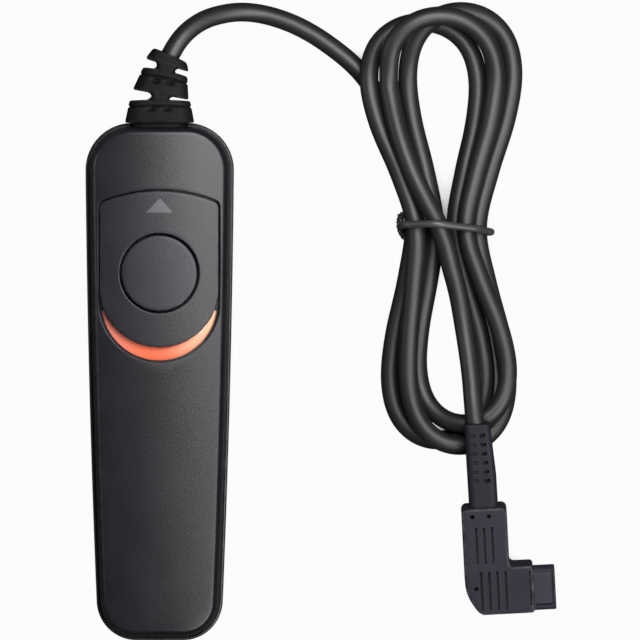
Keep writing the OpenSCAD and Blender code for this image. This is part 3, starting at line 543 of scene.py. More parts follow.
def back_shell_skin():
    """Closed grid of rings from the middle of the back: flat, then a quarter ellipse as its outer edge, the
    upright side, the rounded rim, the shadow groove, the tongue, and the inside wall and floor."""
    rays = Rays((0, 0), [body_outline(0), body_outline(EDGE_WIDTH)])
    out, add = rays.out, rays.add
    foot = out(EDGE_WIDTH)
    for share in np.linspace(0.02, 1, 14):
        add(foot * share, 0.0)
    for bend in quarter(11)[1:]:
        add(out(EDGE_WIDTH * (1 - math.sin(bend))), EDGE_HEIGHT * (1 - math.cos(bend)),
            0.5 * math.sin(2 * bend))
    for height in np.linspace(EDGE_HEIGHT, RIM_LOW, 4)[1:]:
        add(out(0), height)
    for bend in quarter(6)[1:]:
        add(out(RIM_INWARD * (1 - math.cos(bend))), RIM_LOW + RIM_RISE * math.sin(bend),
            0.4 * math.sin(bend))
    for inset in SHADOW_GROOVE:
        add(out(inset), SHADOW_FLOOR)
    add(out(LEDGE), PARTING)
    add(out(TONGUE_STEP), PARTING)
    add(out(TONGUE_STEP), PARTING + TONGUE_HEIGHT - TONGUE_EDGE)
    add(out(TONGUE_STEP + TONGUE_EDGE), PARTING + TONGUE_HEIGHT)
    inner, floor = out(INNER_STEP), out(INNER_STEP + FLOOR_CORNER)
    for height in (PARTING + TONGUE_HEIGHT, 5.0, BACK_WALL + FLOOR_CORNER):
        add(inner, height)
    add(floor, BACK_WALL)
    for share in np.linspace(0.9, 0.02, 12):
        add(floor * share, BACK_WALL)
    return rays.skin()


def boot_window():
    """The box cut out of both shells where the boot passes through their end."""
    return block((-5.3, 43, CORD_HEIGHT - 3.7), (5.3, 52, CORD_HEIGHT + 3.7), 0.3)


def slider_skins():
    """Closed grid of rings round the button's axis: the plate's wall, its rounded edge, the crowned face, the
    rounded bore, the collar and the underside; then the two wings with their hooks."""
    loop = pocket_outline(SLIDE_GAP, SLIDER_ROUND)
    rays = Rays((0, BUTTON_Y), [loop, arc((0, BUTTON_Y), COLLAR_BORE, 0, 357, 119)])
    plate = rays.to(loop)
    edge, lip = 0.28, 0.2
    add = rays.add
    add(plate - 0.05, below_crown(SLIDER_THICKNESS))
    add(plate, below_crown(SLIDER_THICKNESS - CHAMFER))
    add(plate, below_crown(edge + 0.2))
    for bend in quarter(7):
        add(plate - edge * (1 - math.cos(bend)), below_crown(edge * (1 - math.sin(bend))), math.sin(2 * bend))
    for share in np.linspace(0, 1, 16)[1:]:
        add(plate - edge + (COLLAR_BORE + lip - plate + edge) * share, crown)
    for bend in quarter(6)[1:]:
        add(COLLAR_BORE + lip * (1 - math.sin(bend)), below_crown(lip * (1 - math.cos(bend))),
            math.sin(2 * bend))
    add(COLLAR_BORE, 15.0)
    add(COLLAR_BORE, COLLAR_BOTTOM + CHAMFER)
    add(COLLAR_BORE + CHAMFER, COLLAR_BOTTOM)
    add(COLLAR_OUTER - CHAMFER, COLLAR_BOTTOM)
    add(COLLAR_OUTER, COLLAR_BOTTOM + CHAMFER)
    add(COLLAR_OUTER, below_crown(SLIDER_THICKNESS + 0.05))
    for share in np.linspace(0.05, 0.95, 6):
        add(COLLAR_OUTER + (plate - COLLAR_OUTER) * share, below_crown(SLIDER_THICKNESS))
    wings = []
    for s in (-1, 1):
        for (near, far), half, (low, high) in WINGS:
            left, right = sorted((s * near, s * far))
            wings.append(block((left, BUTTON_Y - half, low), (right, BUTTON_Y + half, high)))
    return [rays.skin(wrap=True), *wings]


def button_skin():
    """Rings round the button's axis. The top follows the face's crown a little lower, and its edge is
    rounded; below it are the flange, the hollow underside and the stem."""
    a = np.linspace(0, TURN, 120, endpoint=False)
    edge = 0.3

    def top(r, drop):
        x = r * np.cos(a)
        return np.stack([x, BUTTON_Y + r * np.sin(a), crown(x) - BUTTON_SINK - drop], 1)

    def level(r, z):
        return np.stack([r * np.cos(a), BUTTON_Y + r * np.sin(a), np.full(len(a), z)], 1)

    rings = [top(r, 0) for r in np.linspace(0.05, BUTTON_RADIUS - edge, 14)]
    wear_and_sheen = [0.0] * 14
    for bend in quarter(7)[1:]:
        rings.append(top(BUTTON_RADIUS - edge * (1 - math.sin(bend)), edge * (1 - math.cos(bend))))
        wear_and_sheen.append(math.sin(2 * bend))
    hollow = BUTTON_RADIUS - BUTTON_WALL
    lower = [(BUTTON_RADIUS, 16.0), (BUTTON_RADIUS, FLANGE_TOP), (FLANGE_RADIUS - CHAMFER, FLANGE_TOP),
             (FLANGE_RADIUS, FLANGE_TOP - CHAMFER), (FLANGE_RADIUS, FLANGE_BOTTOM + CHAMFER),
             (FLANGE_RADIUS - CHAMFER, FLANGE_BOTTOM), (hollow, FLANGE_BOTTOM), (hollow, BUTTON_ROOF),
             (STEM_RADIUS, BUTTON_ROOF), (STEM_RADIUS, STEM_TIP + STEM_EDGE),
             (STEM_RADIUS - STEM_EDGE, STEM_TIP), (0.02, STEM_TIP)]
    rings += [level(r, z) for r, z in lower]
    wear_and_sheen += [0.0] * len(lower)
    return skin(np.array(rings), wear_and_sheen=np.array(wear_and_sheen))


MARK_OUTER, MARK_INNER = POCKET_HALF - 0.55, 9.95


def mark_skin():
    """The crescent: across from its outer to its inner arc, with a rounded top edge, along from tip to tip,
    where it ends at the way of the wings."""
    top = below_crown(POCKET_DEPTH - 0.04)
    far = arc((0, POCKET_ROUND - 0.35), MARK_OUTER, -172, -8, 89)
    near = arc((0, POCKET_ROUND + 1.8), MARK_INNER, -170, -10, 89)
    near[:, 1] = np.minimum(near[:, 1], WAY_ENDS[0] - 0.05)
    across = np.array([0, 0, 0.05, 0.12, 0.5, 0.88, 0.95, 1, 1, 0.5])
    drop = np.array([0.44, 0.1, 0.03, 0, -0.02, 0, 0.03, 0.1, 0.44, 0.44])
    flat = far[:, None] + (near - far)[:, None] * across[None, :, None]
    z = top(flat[..., 0]) - drop
    return skin(np.concatenate([flat, z[..., None]], 2))


ARROW_RISE = 0.07


def arrow_skin():
    """The raised arrow: a triangle whose top follows the face, a little higher."""
    corner = np.array([[-2.55, 31.95], [2.55, 31.95], [0.15, 34.7]])
    share = np.linspace(0, 1, 12, endpoint=False)[:, None]
    side = np.concatenate([a + (b - a) * share for a, b in zip(corner, np.roll(corner, -1, 0))])
    middle = corner.mean(0)
    rings = []
    for size, rise in [(1.0, -0.2)] + [(size, ARROW_RISE) for size in (1.0, 0.7, 0.4, 0.02)]:
        flat = middle + (side - middle) * size
        rings.append(at_height(flat, crown(flat[:, 0]) + rise))
    return skin(np.array(rings))


# ---- the ribbed boot

RING_POINTS = 160
GROOVE_DEPTH, GROOVE_HALF = 0.3, 0.17
PIT_DEPTH, PIT_ACROSS, PIT_ALONG = 0.6, 0.7, 0.4
UP = np.array([0, 0, 1.0])


def rounded_rect(w, h, steps):
    """A rectangle of w by h with round corners, in its own plane."""
    r = 0.26 * min(w, h)
    return np.concatenate([arc((cx * (w / 2 - r), cy * (h / 2 - r)), r, a, a + 90, steps)
                           for cx, cy, a in ((1, 1, 0), (-1, 1, 90), (-1, -1, 180), (1, -1, 270))])


def even_rect(w, h, steps, spacing):
    """The rectangle again, as a set number of points that lie evenly along it."""
    q = rounded_rect(w, h, steps)
    q = spaced(np.vstack([q, q[:1]]), spacing)
    t = np.linspace(0, 1, RING_POINTS + 1)[:-1]
    return np.stack([np.interp(t, np.linspace(0, 1, len(q)), q[:, k]) for k in (0, 1)], 1)


def boot_ring(station, shrink=0.0):
    """The ring at a station [x, y past the handset's end, heading, width, height], drawn in by shrink."""
    x, y, heading, w, h = station
    a = math.radians(heading)
    q = even_rect(w - 2 * shrink, h - 2 * shrink, 8, 0.22)
    side, along = np.array([math.cos(a), -math.sin(a), 0]), np.array([math.sin(a), math.cos(a), 0])
    return np.array([x, BODY_LENGTH / 2 + y, CORD_HEIGHT]), q, side, along


def boot_block(a, b, edge=0.35, arch=0.0, groove=None, pits=()):
    """A block of the boot between two stations: straight between them, with both rims rounded over by edge.
    Its far end bulges by arch (1 - x^2), its faces are a little domed, a groove runs round it at a share of
    its length, and a pit is pressed into each face at each [share, sideways place]."""
    a, b = np.array(a, float), np.array(b, float)
    span = float(np.hypot(*(b[:2] - a[:2])))
    bends = [(edge * (1 - math.cos(t)) / span, edge * (1 - math.sin(t))) for t in quarter(5)]
    levels = bends + [(share, 0.0) for share in np.linspace(edge / span, 1 - edge / span, 40)[1:-1]]
    levels += [(1 - share, shrink) for share, shrink in bends[::-1]]
    rings, wear_and_sheen = [], []
    for share, shrink in levels:
        station = a + (b - a) * share
        middle, q, side, along = boot_ring(station, shrink)
        u = np.clip(q[:, 0] / (station[3] / 2), -1, 1)
        sunk = np.zeros(len(q))
        if groove is not None:
            sunk += GROOVE_DEPTH * np.exp(-((share - groove) * span / GROOVE_HALF) ** 2)
        for at, across in pits:
            near = ((q[:, 0] - across) / PIT_ACROSS) ** 2 + ((share - at) * span / PIT_ALONG) ** 2
            sunk += PIT_DEPTH * np.exp(-near)
        dome = 1 - 0.1 * u**2
        height = q[:, 1] * dome
        inward = unit(np.stack([q[:, 0] * 0.6, height], 1))
        q = np.stack([q[:, 0] - inward[:, 0] * sunk, height - inward[:, 1] * sunk], 1)
        bulge = arch * (1 - u**2) * share
        rings.append(middle + q[:, :1] * side + q[:, 1:] * UP + bulge[:, None] * along)
        wear_and_sheen.append(0.7 if shrink else 0.0)
    return skin(np.array(rings), wear_and_sheen=np.array(wear_and_sheen))


BOOT_BLOCKS = [
    dict(a=[0, -3.6, 0, 13, 9.6], b=[0, -2.1, 0, 13, 9.6]),
    dict(a=[0, -2.4, 0, 10.2, 7.2], b=[0, 0.5, 0, 10.2, 7.2]),
    dict(a=[0, 0.02, 0, 12.9, 9.4], b=[0, 0.6, 0, 12.9, 9.4], edge=0.06),
    dict(a=[0, 0.1, 0, 13.1, 9.6], b=[0.05, 4.15, 0.5, 11.5, 8.6], arch=0.2, groove=0.72,
         pits=[(0.58, -1.7), (0.58, 1.5)]),
    dict(a=[0.2, 5.35, 10.5, 10.7, 8.2], b=[1.05, 9.6, 12, 8.6, 7], arch=0.3, groove=0.7,
         pits=[(0.52, -1.5), (0.56, 1.4)]),
    dict(a=[1.4, 10.9, 17, 8.6, 6.6], b=[2.0, 12.8, 24, 6.9, 5.8], edge=0.5, arch=0.1)]
BOOT_NECKS = [
    [[0.0, 3.7, 0.5, 7.6, 8.2], [0.1, 4.5, 5, 3.9, 8.1], [0.2, 5.1, 9, 3.9, 8], [0.3, 5.8, 10, 7, 7.8]],
    [[0.98, 9.3, 12, 6, 6.8], [1.12, 10.0, 14, 3.9, 6.7], [1.28, 10.6, 16, 3.9, 6.5],
     [1.45, 11.3, 17, 5.6, 6.3]]]


def boot_neck_skin(stations):
    """A neck between two blocks, smooth through its stations, so that it flares into both."""
    line = smooth_through(np.array(stations, float), np.linspace(0, len(stations) - 1, 22))
    return skin(np.array([middle + q[:, :1] * side + q[:, 1:] * UP
                          for middle, q, side, _ in map(boot_ring, line)]))


# ---- plug

def swung(a, b, angle):
    """A point turned by an angle: (a cos - b sin, a sin + b cos)."""
    return a * math.cos(angle) - b * math.sin(angle), a * math.sin(angle) + b * math.cos(angle)


def in_plug(points):
    """From the plug's own frame (its boot's top at the origin, down -Y, nose to +X) to where it lies."""
    q = np.asarray(points, float)
    y, z = swung(q[..., 1], q[..., 2], PLUG_TILT)
    x, y = swung(q[..., 0] + PLUG_SIDE, y, PLUG_TURN)
    return np.stack([x, y, z], -1) + np.array(TAIL[-1])


def placed(part):
    """A skin drawn in the plug's own frame, moved to where the plug lies."""
    v, f, w = part
    return in_plug(v), f, w


WINDOW_DEPTHS = (-1, 0.3), (1, 0.7)
WINDOW_ROWS, WINDOW_START, WINDOW_PITCH = 6, 2.15, 1.735
WINDOW_HALF, WINDOW_TALL, WINDOW_SLOPE = 0.5, 0.3, 0.12


def plug_boot_skin():
    """Rounded rectangles that grow down the boot and shift to the right, with two rows of windows pressed
    into each face: smooth steps in from a window's sides, deeper on the right than on the left."""
    length = np.concatenate([[0, 0.03, 0.12, 0.3], np.linspace(0.42, PLUG_BOOT, 150)])
    rim = np.array([0.45, 0.25, 0.08, 0.0] + [0.0] * 150)
    rings = []
    for y, shrink in zip(length, rim):
        shift, w, h = (np.interp(y, (0, 10, PLUG_BOOT), row) for row in
                       ((0, 0.42, 0.47), (4.9, 5.5, 5.5), (4.2, 4.7, 5.0)))
        q = even_rect(w - 2 * shrink, h - 2 * shrink, 5, 0.12)
        q[:, 0] += shift
        depth = np.zeros(len(q))
        for i in range(WINDOW_ROWS):
            for s, deep in WINDOW_DEPTHS:
                across = (WINDOW_HALF - np.abs(q[:, 0] - 0.07 * i - s * (0.95 + 0.03 * i))) / WINDOW_SLOPE
                down = (WINDOW_TALL - abs(y - WINDOW_START - WINDOW_PITCH * i)) / WINDOW_SLOPE
                depth = np.maximum(depth, deep * np.clip(np.minimum(across, down), 0, 1))
        z = np.sign(q[:, 1]) * (np.abs(q[:, 1]) - depth)
        rings.append(np.column_stack([q[:, 0], np.full(len(q), -y), z]))
    return skin(np.array(rings))


FOOT_INWARD, FOOT_TALL = 2.8, 6.4


def plug_outline():
    """The elbow seen from above: a long body whose foot sweeps in on the left, and an arm to the right."""
    left, right, top, end = -3.8, 4.8, -PLUG_BOOT, -PLUG_FULL
    u = np.linspace(0, 1, 14)[:, None]
    sweep = np.concatenate([left + FOOT_INWARD * u * u, end + FOOT_TALL * (1 - u)], 1)
    shoulder, tip, inside = 1, 0.6, 0.9
    return np.concatenate([
        arc((right - shoulder, top - shoulder), shoulder, 0, 90, 8),
        arc((left + shoulder, top - shoulder), shoulder, 90, 180, 8), sweep[:-1],
        arc((-0.5, end + 0.4), 0.4, 235, 270, 3),
        arc((ARM_REACH - tip, end + tip), tip, -90, 0, 6),
        arc((ARM_REACH - tip, ARM_TOP - tip), tip, 0, 90, 6),
        arc((right + inside, ARM_TOP + inside), inside, 270, 180, 6)])


def moved_in(loop, distance):
    """A closed loop moved in along its own normals."""
    run = unit(np.roll(loop, -1, 0) - np.roll(loop, 1, 0))
    return loop + distance * np.stack([-run[:, 1], run[:, 0]], 1)


LINE_DEPTH = 0.7
# grip lines: the first one's left side, a line's width, their pitch and number, and their two ends
GRIP_LINES = (-1.42, 0.44, 1.5, 3, -26.6, -19.6), (-0.92, 0.44, 1.55, 4, -35.6, -28.2)
ARM_LINE = (8.4, 8.75, -35, -28.4)
DOT_RADIUS, DOT_DEPTH = 0.42, 1.4
MOULD_DOTS = (-1.8, -17.5), (1.35, -17.5), (-1.75, -31.4)


def plug_body_mesh():
    """Rings of the elbow's outline from its under face to its upper face, with both edges rounded over, then
    grip lines, a line near the arm's end and moulding dots cut in the upper face."""
    loop = spaced(np.vstack([plug_outline(), plug_outline()[:1]]), 0.35)[:-1]
    centre, edge = np.array([2.4, -31.8]), 0.5
    rim = moved_in(loop, edge)
    lower = [at_height(centre + (rim - centre) * share, -PLUG_HALF) for share in (0.03, 0.3, 0.6, 0.85)]
    worn_and_sheen = [0.0] * len(lower)
    for bend in quarter(6):
        lower.append(at_height(moved_in(loop, edge * (1 - math.sin(bend))),
                               -PLUG_HALF + edge * (1 - math.cos(bend))))
        worn_and_sheen.append(math.sin(2 * bend))
    rings = lower + [at_height(loop, z) for z in (-1.2, 1.2)] + [r * (1, 1, -1) for r in lower[::-1]]
    body = make_mesh("plug body", [skin(np.array(rings), wear_and_sheen=np.array(worn_and_sheen + [0.0, 0.0] + worn_and_sheen[::-1]))])
    top = PLUG_HALF
    lines = [(left + pitch * i, left + width + pitch * i, low, high)
             for left, width, pitch, count, low, high in GRIP_LINES for i in range(count)] + [ARM_LINE]
    cutters = [block((x0, y0, top - LINE_DEPTH), (x1, y1, top + 1), 0.05) for x0, x1, y0, y1 in lines]
    cutters += posts([(DOT_RADIUS, top - DOT_DEPTH), (DOT_RADIUS, top + 0.6)], MOULD_DOTS, 24)
    return laid(carved(body, cutters, "DIFFERENCE"))


def laid(data):
    """A mesh drawn in the plug's own frame, moved to where the plug lies."""
    points = np.zeros(len(data.vertices) * 3)
    data.vertices.foreach_get("co", points)
    data.vertices.foreach_set("co", (in_plug(points.reshape(-1, 3) / MM) * MM).ravel())
    return data


FRAME_DEPTH, FRAME_HALF, FRAME_EDGE = 0.6, 0.2, 0.04
FACE_NOTCHES, FACE_NOTCH = (-3.0, -1.6, 0.6, 2.2), 0.35
SIDE_NOTCHES, SIDE_NOTCH, SIDE_NOTCH_TALL = (1.7, 1.1, 0.5), 0.12, 1.6
NOSE_RIM = 0.3


def plug_nose_mesh():
    """Rounded rectangles along +X with a rounded rim at the end, cut by a frame of lines on both faces, small
    notches round the end, and the three bores."""
    levels = [(x, 0.0) for x in (ARM_REACH, ARM_REACH + 1.5, NOSE_REACH - 1.5, NOSE_REACH - NOSE_RIM)]
    levels += [(NOSE_REACH - NOSE_RIM * (1 - math.sin(t)), NOSE_RIM * (1 - math.cos(t)))
               for t in quarter(6)[1:]]
    rings = []
    for x, shrink in levels:
        q = rounded_rect(2 * (NOSE_HALF - shrink), 2 * (NOSE_THICK - shrink), 5)
        rings.append(np.column_stack([np.full(len(q), x), NOSE_Y + q[:, 0], q[:, 1]]))
    nose = make_mesh("plug nose", [skin(np.array(rings))])
    low, high, right = NOSE_Y - NOSE_HALF + 1.3, NOSE_Y + NOSE_HALF - 0.5, NOSE_REACH - 0.55
    cutters = []
    for z in (-NOSE_THICK, NOSE_THICK):
        z0, z1 = z - FRAME_DEPTH, z + FRAME_DEPTH
        cutters += [block((ARM_REACH + 0.3, y - FRAME_HALF, z0), (right, y + FRAME_HALF, z1), FRAME_EDGE)
                    for y in (low, high)]
        cutters += [block((right - FRAME_HALF, low - 0.19, z0), (right + FRAME_HALF, high + 0.19, z1),
                          FRAME_EDGE)]
        cutters += [block((NOSE_REACH - 0.28, y, z0), (NOSE_REACH + 0.5, y + FACE_NOTCH, z1), FRAME_EDGE)
                    for y in NOSE_Y + np.array(FACE_NOTCHES)]
    for x in NOSE_REACH - np.array(SIDE_NOTCHES):
        cutters += [block((x - SIDE_NOTCH, y - FRAME_HALF, -SIDE_NOTCH_TALL),
                          (x + SIDE_NOTCH, y + FRAME_HALF, SIDE_NOTCH_TALL), FRAME_EDGE)
                    for y in (s * NOSE_HALF + NOSE_Y for s in (-1, 1))]
    for y in NOSE_Y + SOCKET_PITCH * np.arange(-1, 2):
        v, f, w = turned([(SOCKET_BORE, ARM_REACH - 1), (SOCKET_BORE, NOSE_REACH + 1)], (0, 0), 32)
        cutters.append((v[:, [2, 0, 1]] + (0, y, 0), f, w))
    return laid(carved(nose, cutters, "DIFFERENCE"))


# ---- finishes

class Wire:
    """A value inside a finish: an output socket, where each operator adds a Math node."""
    def __init__(self, finish, socket):
        self.finish, self.socket = finish, socket

    def math(self, operation, a, b):
        """The result of a Math node on two values or links."""
        return self.finish.node("ShaderNodeMath", {"operation": operation}, {0: a, 1: b})

    def __add__(self, other):
        return self.math("ADD", self, other)

    def __sub__(self, other):
        return self.math("SUBTRACT", self, other)

    def __rsub__(self, other):
        return self.math("SUBTRACT", other, self)

    def __mul__(self, other):
        return self.math("MULTIPLY", self, other)

    __radd__, __rmul__ = __add__, __mul__

    def between(self, low, high):
        """0 below low, 1 above high, and a smooth step from one to the other."""
        return self.finish.node("ShaderNodeMapRange", {"interpolation_type": "SMOOTHSTEP"},
                                {"Value": self, "From Min": low, "From Max": high})


def colour(r, g, b):
    """Red, green and blue with full alpha."""
    return (r, g, b, 1.0)


def grey(tone):
    """A neutral colour."""
    return (tone, tone, tone)


class Graph:
    """The nodes of a material or a world, which start out empty."""
    def __init__(self, owner):
        owner.use_nodes = True
        self.tree = owner.node_tree
        self.tree.nodes.clear()

    def node(self, kind, settings=(), values=(), out=0):
        """Adds a node with its settings and its sockets' values or links, and gives the output named."""
        made = self.tree.nodes.new(kind)
        for key, value in dict(settings).items():
            setattr(made, key, value)
        for key, value in dict(values).items():
            if isinstance(value, Wire):
                self.tree.links.new(value.socket, made.inputs[key])
            else:
                made.inputs[key].default_value = value
        return None if out is None else Wire(self, made.outputs[out])


class Finish(Graph):
    """A material whose patterns lie in the piece's own coordinates."""
    def __init__(self, name):
        self.material = bpy.data.materials.new(name)
        super().__init__(self.material)
        self.place = self.node("ShaderNodeTexCoord", out="Object")

    def noise(self, size, detail, stretch=(1, 1, 1)):
        """Noise whose features are about size millimetres across, longer along an axis by its stretch."""
        scale = [1 / s for s in stretch]
        spot = self.node("ShaderNodeMapping", values={"Vector": self.place, "Scale": scale})
        return self.node("ShaderNodeTexNoise",
                         values={"Vector": spot, "Scale": 1 / (size * MM), "Detail": detail})

    def blend(self, share, a, b):
        """One colour changing to another with the share, each a link or red, green and blue."""
        a, b = (c if isinstance(c, Wire) else colour(*c) for c in (a, b))
        return self.node("ShaderNodeMix", {"data_type": "RGBA"}, {0: share, 6: a, 7: b}, out=2)

    def bump(self, height, depth):
        """A normal from a height between 0 and 1, depth millimetres deep."""
        return self.node("ShaderNodeBump", values={"Height": height, "Distance": depth * MM, "Strength": 1.0})

    def surface(self, **values):
        """The finished material; each value goes to the shader's socket of that name."""
        named = {key.replace("_", " ").title().replace("Ior", "IOR"): value for key, value in values.items()}
        shader = self.node("ShaderNodeBsdfPrincipled", values=named)
        self.node("ShaderNodeOutputMaterial", values={"Surface": shader}, out=None)
        return self.material


TONE_SIZE, RUB_AND_SHEEN_SIZE = 11.0, 1.6


def moulded(name, dark, light, rough, grain=0.28, depth=0.022, worn_and_sheen=(0.09, 0.09, 0.1), spec=0.5):
    """Moulded plastic or rubber: a fine spark-eroded grain, slow changes of tone, edges lighter where the
    wear is above 0, and polished where it is below. The lighter edges are rubbed wear, and on the front
    shell's left rolled edge a painted highlight."""
    f = Finish(name)
    fine, tone = f.noise(grain, 3.0), f.noise(TONE_SIZE, 3.0)
    speck = f.noise(grain * 0.5, 1.0).between(0.62, 0.75)
    wear_and_sheen = f.node("ShaderNodeAttribute", {"attribute_name": "wear_and_sheen"}, out="Fac")
    rubbed_and_sheen = wear_and_sheen * f.noise(RUB_AND_SHEEN_SIZE, 4.0).between(0.35, 0.7)
    polished = (wear_and_sheen * -1.0).between(0.0, 1.0)
    base = f.blend(tone.between(0.3, 0.7), dark, light)
    base = f.blend(speck * 0.25, base, 2.2 * np.array(light))
    # Edges turn to the worn colour where the wear is above 0: rubbed wear, and on the front shell's left
    # rolled edge a painted highlight.
    base = f.blend(rubbed_and_sheen * 0.5, base, worn_and_sheen)
    roughness = tone * 0.06 + fine * 0.08 + (rough - 0.07) - rubbed_and_sheen * 0.05 - polished * 0.2
    return f.surface(base_color=base, roughness=roughness, normal=f.bump(fine, depth),
                     specular_ior_level=spec)


def metal(name, tint, rough):
    """Plated or turned metal: streaks of roughness and a trace of tarnish."""
    f = Finish(name)
    streak, stain = f.noise(0.15, 3.0, (6, 1, 1)), f.noise(1.8, 4.0)
    base = f.blend(stain.between(0.45, 0.8) * 0.5, tint, 0.55 * np.array(tint))
    return f.surface(base_color=base, metallic=1.0, roughness=streak * 0.2 + stain * 0.1 + (rough - 0.15),
                     normal=f.bump(streak, 0.004))


def mark_finish():
    """Glossy orange crescent, painted lighter towards both tips: painted light, pinkish at the left tip and a
    yellowish painted highlight at the right.
    """
    f = Finish("hold mark orange")
    x = f.node("ShaderNodeSeparateXYZ", values={"Vector": f.place}, out="X")
    cloud = f.noise(2.5, 3.0)
    painted_light_pink, orange, painted_highlight_yellow = (0.61, 0.18, 0.128), (0.62, 0.108, 0.045), (0.78, 0.33, 0.165)
    # Painted light: pinkish towards the left tip, which the pocket shades, and a lighter yellowish painted
    # highlight towards the right tip.
    base = f.blend((x + cloud * 0.002).between(-0.010, 0.0), painted_light_pink, orange)
    base = f.blend((x + cloud * 0.002).between(0.001, 0.012), base, painted_highlight_yellow)
    return f.surface(base_color=base, roughness=cloud * 0.1 + 0.25, normal=f.bump(f.noise(0.5, 2.0), 0.006),
                     coat_weight=0.3)


def board_finish():
    """Green solder mask with a woven ground and fine copper tracks showing through."""
    f = Finish("solder mask green")
    weave = f.noise(0.3, 1.0, (4, 1, 1)) * 0.5 + f.noise(0.3, 1.0, (1, 4, 1)) * 0.5
    track = f.noise(1.6, 0.0, (1, 5, 1)).between(0.5, 0.54)
    base = f.blend(weave, (0.03, 0.14, 0.05), (0.05, 0.2, 0.07))
    base = f.blend(track * 0.5, base, (0.1, 0.3, 0.1))
    return f.surface(base_color=base, roughness=weave * 0.1 + 0.3, normal=f.bump(track, 0.03))


FINISHES = {
    "back_plastic": moulded("back shell black", (0.0065, 0.0065, 0.0068), (0.0105, 0.0105, 0.011), 0.4,
                            spec=0.34),
    # The front shell's worn colour is also the painted highlight along its left rolled edge.
    "front_plastic": moulded("front shell black", (0.0045, 0.0043, 0.0061), (0.007, 0.0067, 0.0093), 0.37,
                             worn_and_sheen=(0.035, 0.035, 0.038), spec=0.32),
    "slider_plastic": moulded("slider black", (0.0065, 0.0063, 0.009), (0.0098, 0.0095, 0.0133), 0.4,
                              worn_and_sheen=(0.05, 0.05, 0.053), spec=0.33),
    "button_plastic": moulded("button dark grey", (0.008, 0.0077, 0.0115), (0.0122, 0.0117, 0.0162), 0.42,
                              worn_and_sheen=(0.05, 0.05, 0.053), spec=0.33),
    "carriage_plastic": moulded("retainer natural", (0.55, 0.54, 0.5), (0.66, 0.65, 0.6), 0.45,
                                worn_and_sheen=(0.8, 0.8, 0.76)),
    "cord_rubber": moulded("cord jacket black", grey(0.0055), grey(0.0085), 0.47, grain=0.5, depth=0.01,
                           worn_and_sheen=grey(0.05), spec=0.44),
    "boot_rubber": moulded("boot rubber black", grey(0.0025), grey(0.0044), 0.62, worn_and_sheen=grey(0.045), spec=0.1),
    "tie_plastic": moulded("tie jacket grey", grey(0.026), grey(0.04), 0.4, grain=0.4),
    "plug_rubber": moulded("plug boot blue grey", (0.0058, 0.0053, 0.0098), (0.0086, 0.0081, 0.0133), 0.62,
                           spec=0.2),
    "plug_plastic": moulded("plug body blue grey", (0.0093, 0.0088, 0.0146), (0.0127, 0.0122, 0.0184), 0.62,
                            spec=0.2),
    "wire_white": moulded("wire white", (0.7, 0.7, 0.68), (0.8, 0.8, 0.78), 0.35, worn_and_sheen=grey(0.8)),
    "wire_red": moulded("wire red", (0.5, 0.03, 0.02), (0.62, 0.05, 0.04), 0.35, worn_and_sheen=(0.6, 0.1, 0.1)),
    "wire_yellow": moulded("wire yellow", (0.72, 0.5, 0.05), (0.8, 0.6, 0.08), 0.35, worn_and_sheen=(0.8, 0.7, 0.2)),
    "spacer_board": moulded("spacer board brown", (0.2, 0.1, 0.045), (0.3, 0.16, 0.07), 0.55, grain=0.4,
                            worn_and_sheen=(0.4, 0.3, 0.2)),
    "steel": metal("plated steel", (0.6, 0.6, 0.62), 0.35),
    "screw_black": metal("blackened steel", (0.06, 0.06, 0.065), 0.42),
    "contact_metal": metal("spring bronze", (0.78, 0.55, 0.24), 0.3),
    "mark_plastic": mark_finish(),
    "board": board_finish(),
}
PALER_NOSE = moulded("plug nose blue grey", (0.0148, 0.014, 0.021), (0.0208, 0.0198, 0.0275), 0.62,
                     spec=0.2)
ARROW = moulded("arrow satin grey", (0.036, 0.036, 0.04), (0.046, 0.046, 0.05), 0.4)

for part in frame["record"]["subparts"]:
    solid = frame["nodes"][part["node"]].data
    solid.materials.clear()
    solid.materials.append(FINISHES[part["material_slot"]])


# ---- the pieces

cord = make_piece("cord", [skin(swept(ROUTE, CORD_RADIUS, 20))], "handset",
                  ["cord_lead", "cord_hank", "cord_tail"], "cord_rubber")

back = carved(make_mesh("back shell", [back_shell_skin()]),
              posts([(2.3, 0.8), (2.3, 8.58)], CASE_SCREWS, 32)
              + posts([(1.5, 0.8), (1.5, 3.0)], BOARD_POSTS, 24), "UNION")
back = carved(back, posts([(2.1, -1), (2.1, 2.2), (1.05, 2.2), (1.05, 9.5)], CASE_SCREWS, 32)
              + posts([(0.75, 1.2), (0.75, 4.0)], BOARD_POSTS, 16) + [boot_window()], "DIFFERENCE")
make_piece("back_shell_moulding", back, "handset", ["back_shell"], "back_plastic")

front = carved(make_mesh("front shell", [front_shell_skin()]), [boot_window()], "DIFFERENCE")
make_piece("front_shell_moulding", front, "handset", ["front_shell"], "front_plastic")
make_piece("hold_mark_crescent", [mark_skin()], "handset", ["hold_mark"], "mark_plastic")
make_piece("hold_slider_plate", slider_skins(), "slider", ["hold_slider"], "slider_plastic")
make_piece("hold_arrow", [arrow_skin()], "slider", [], "slider_plastic", ARROW)
make_piece("button_cap", [button_skin()], "button", ["release_button"], "button_plastic")

boot = make_piece("handset_boot",
                  [boot_block(**b) for b in BOOT_BLOCKS] + [boot_neck_skin(n) for n in BOOT_NECKS],
                  "handset", ["cord_boot"], "boot_rubber")

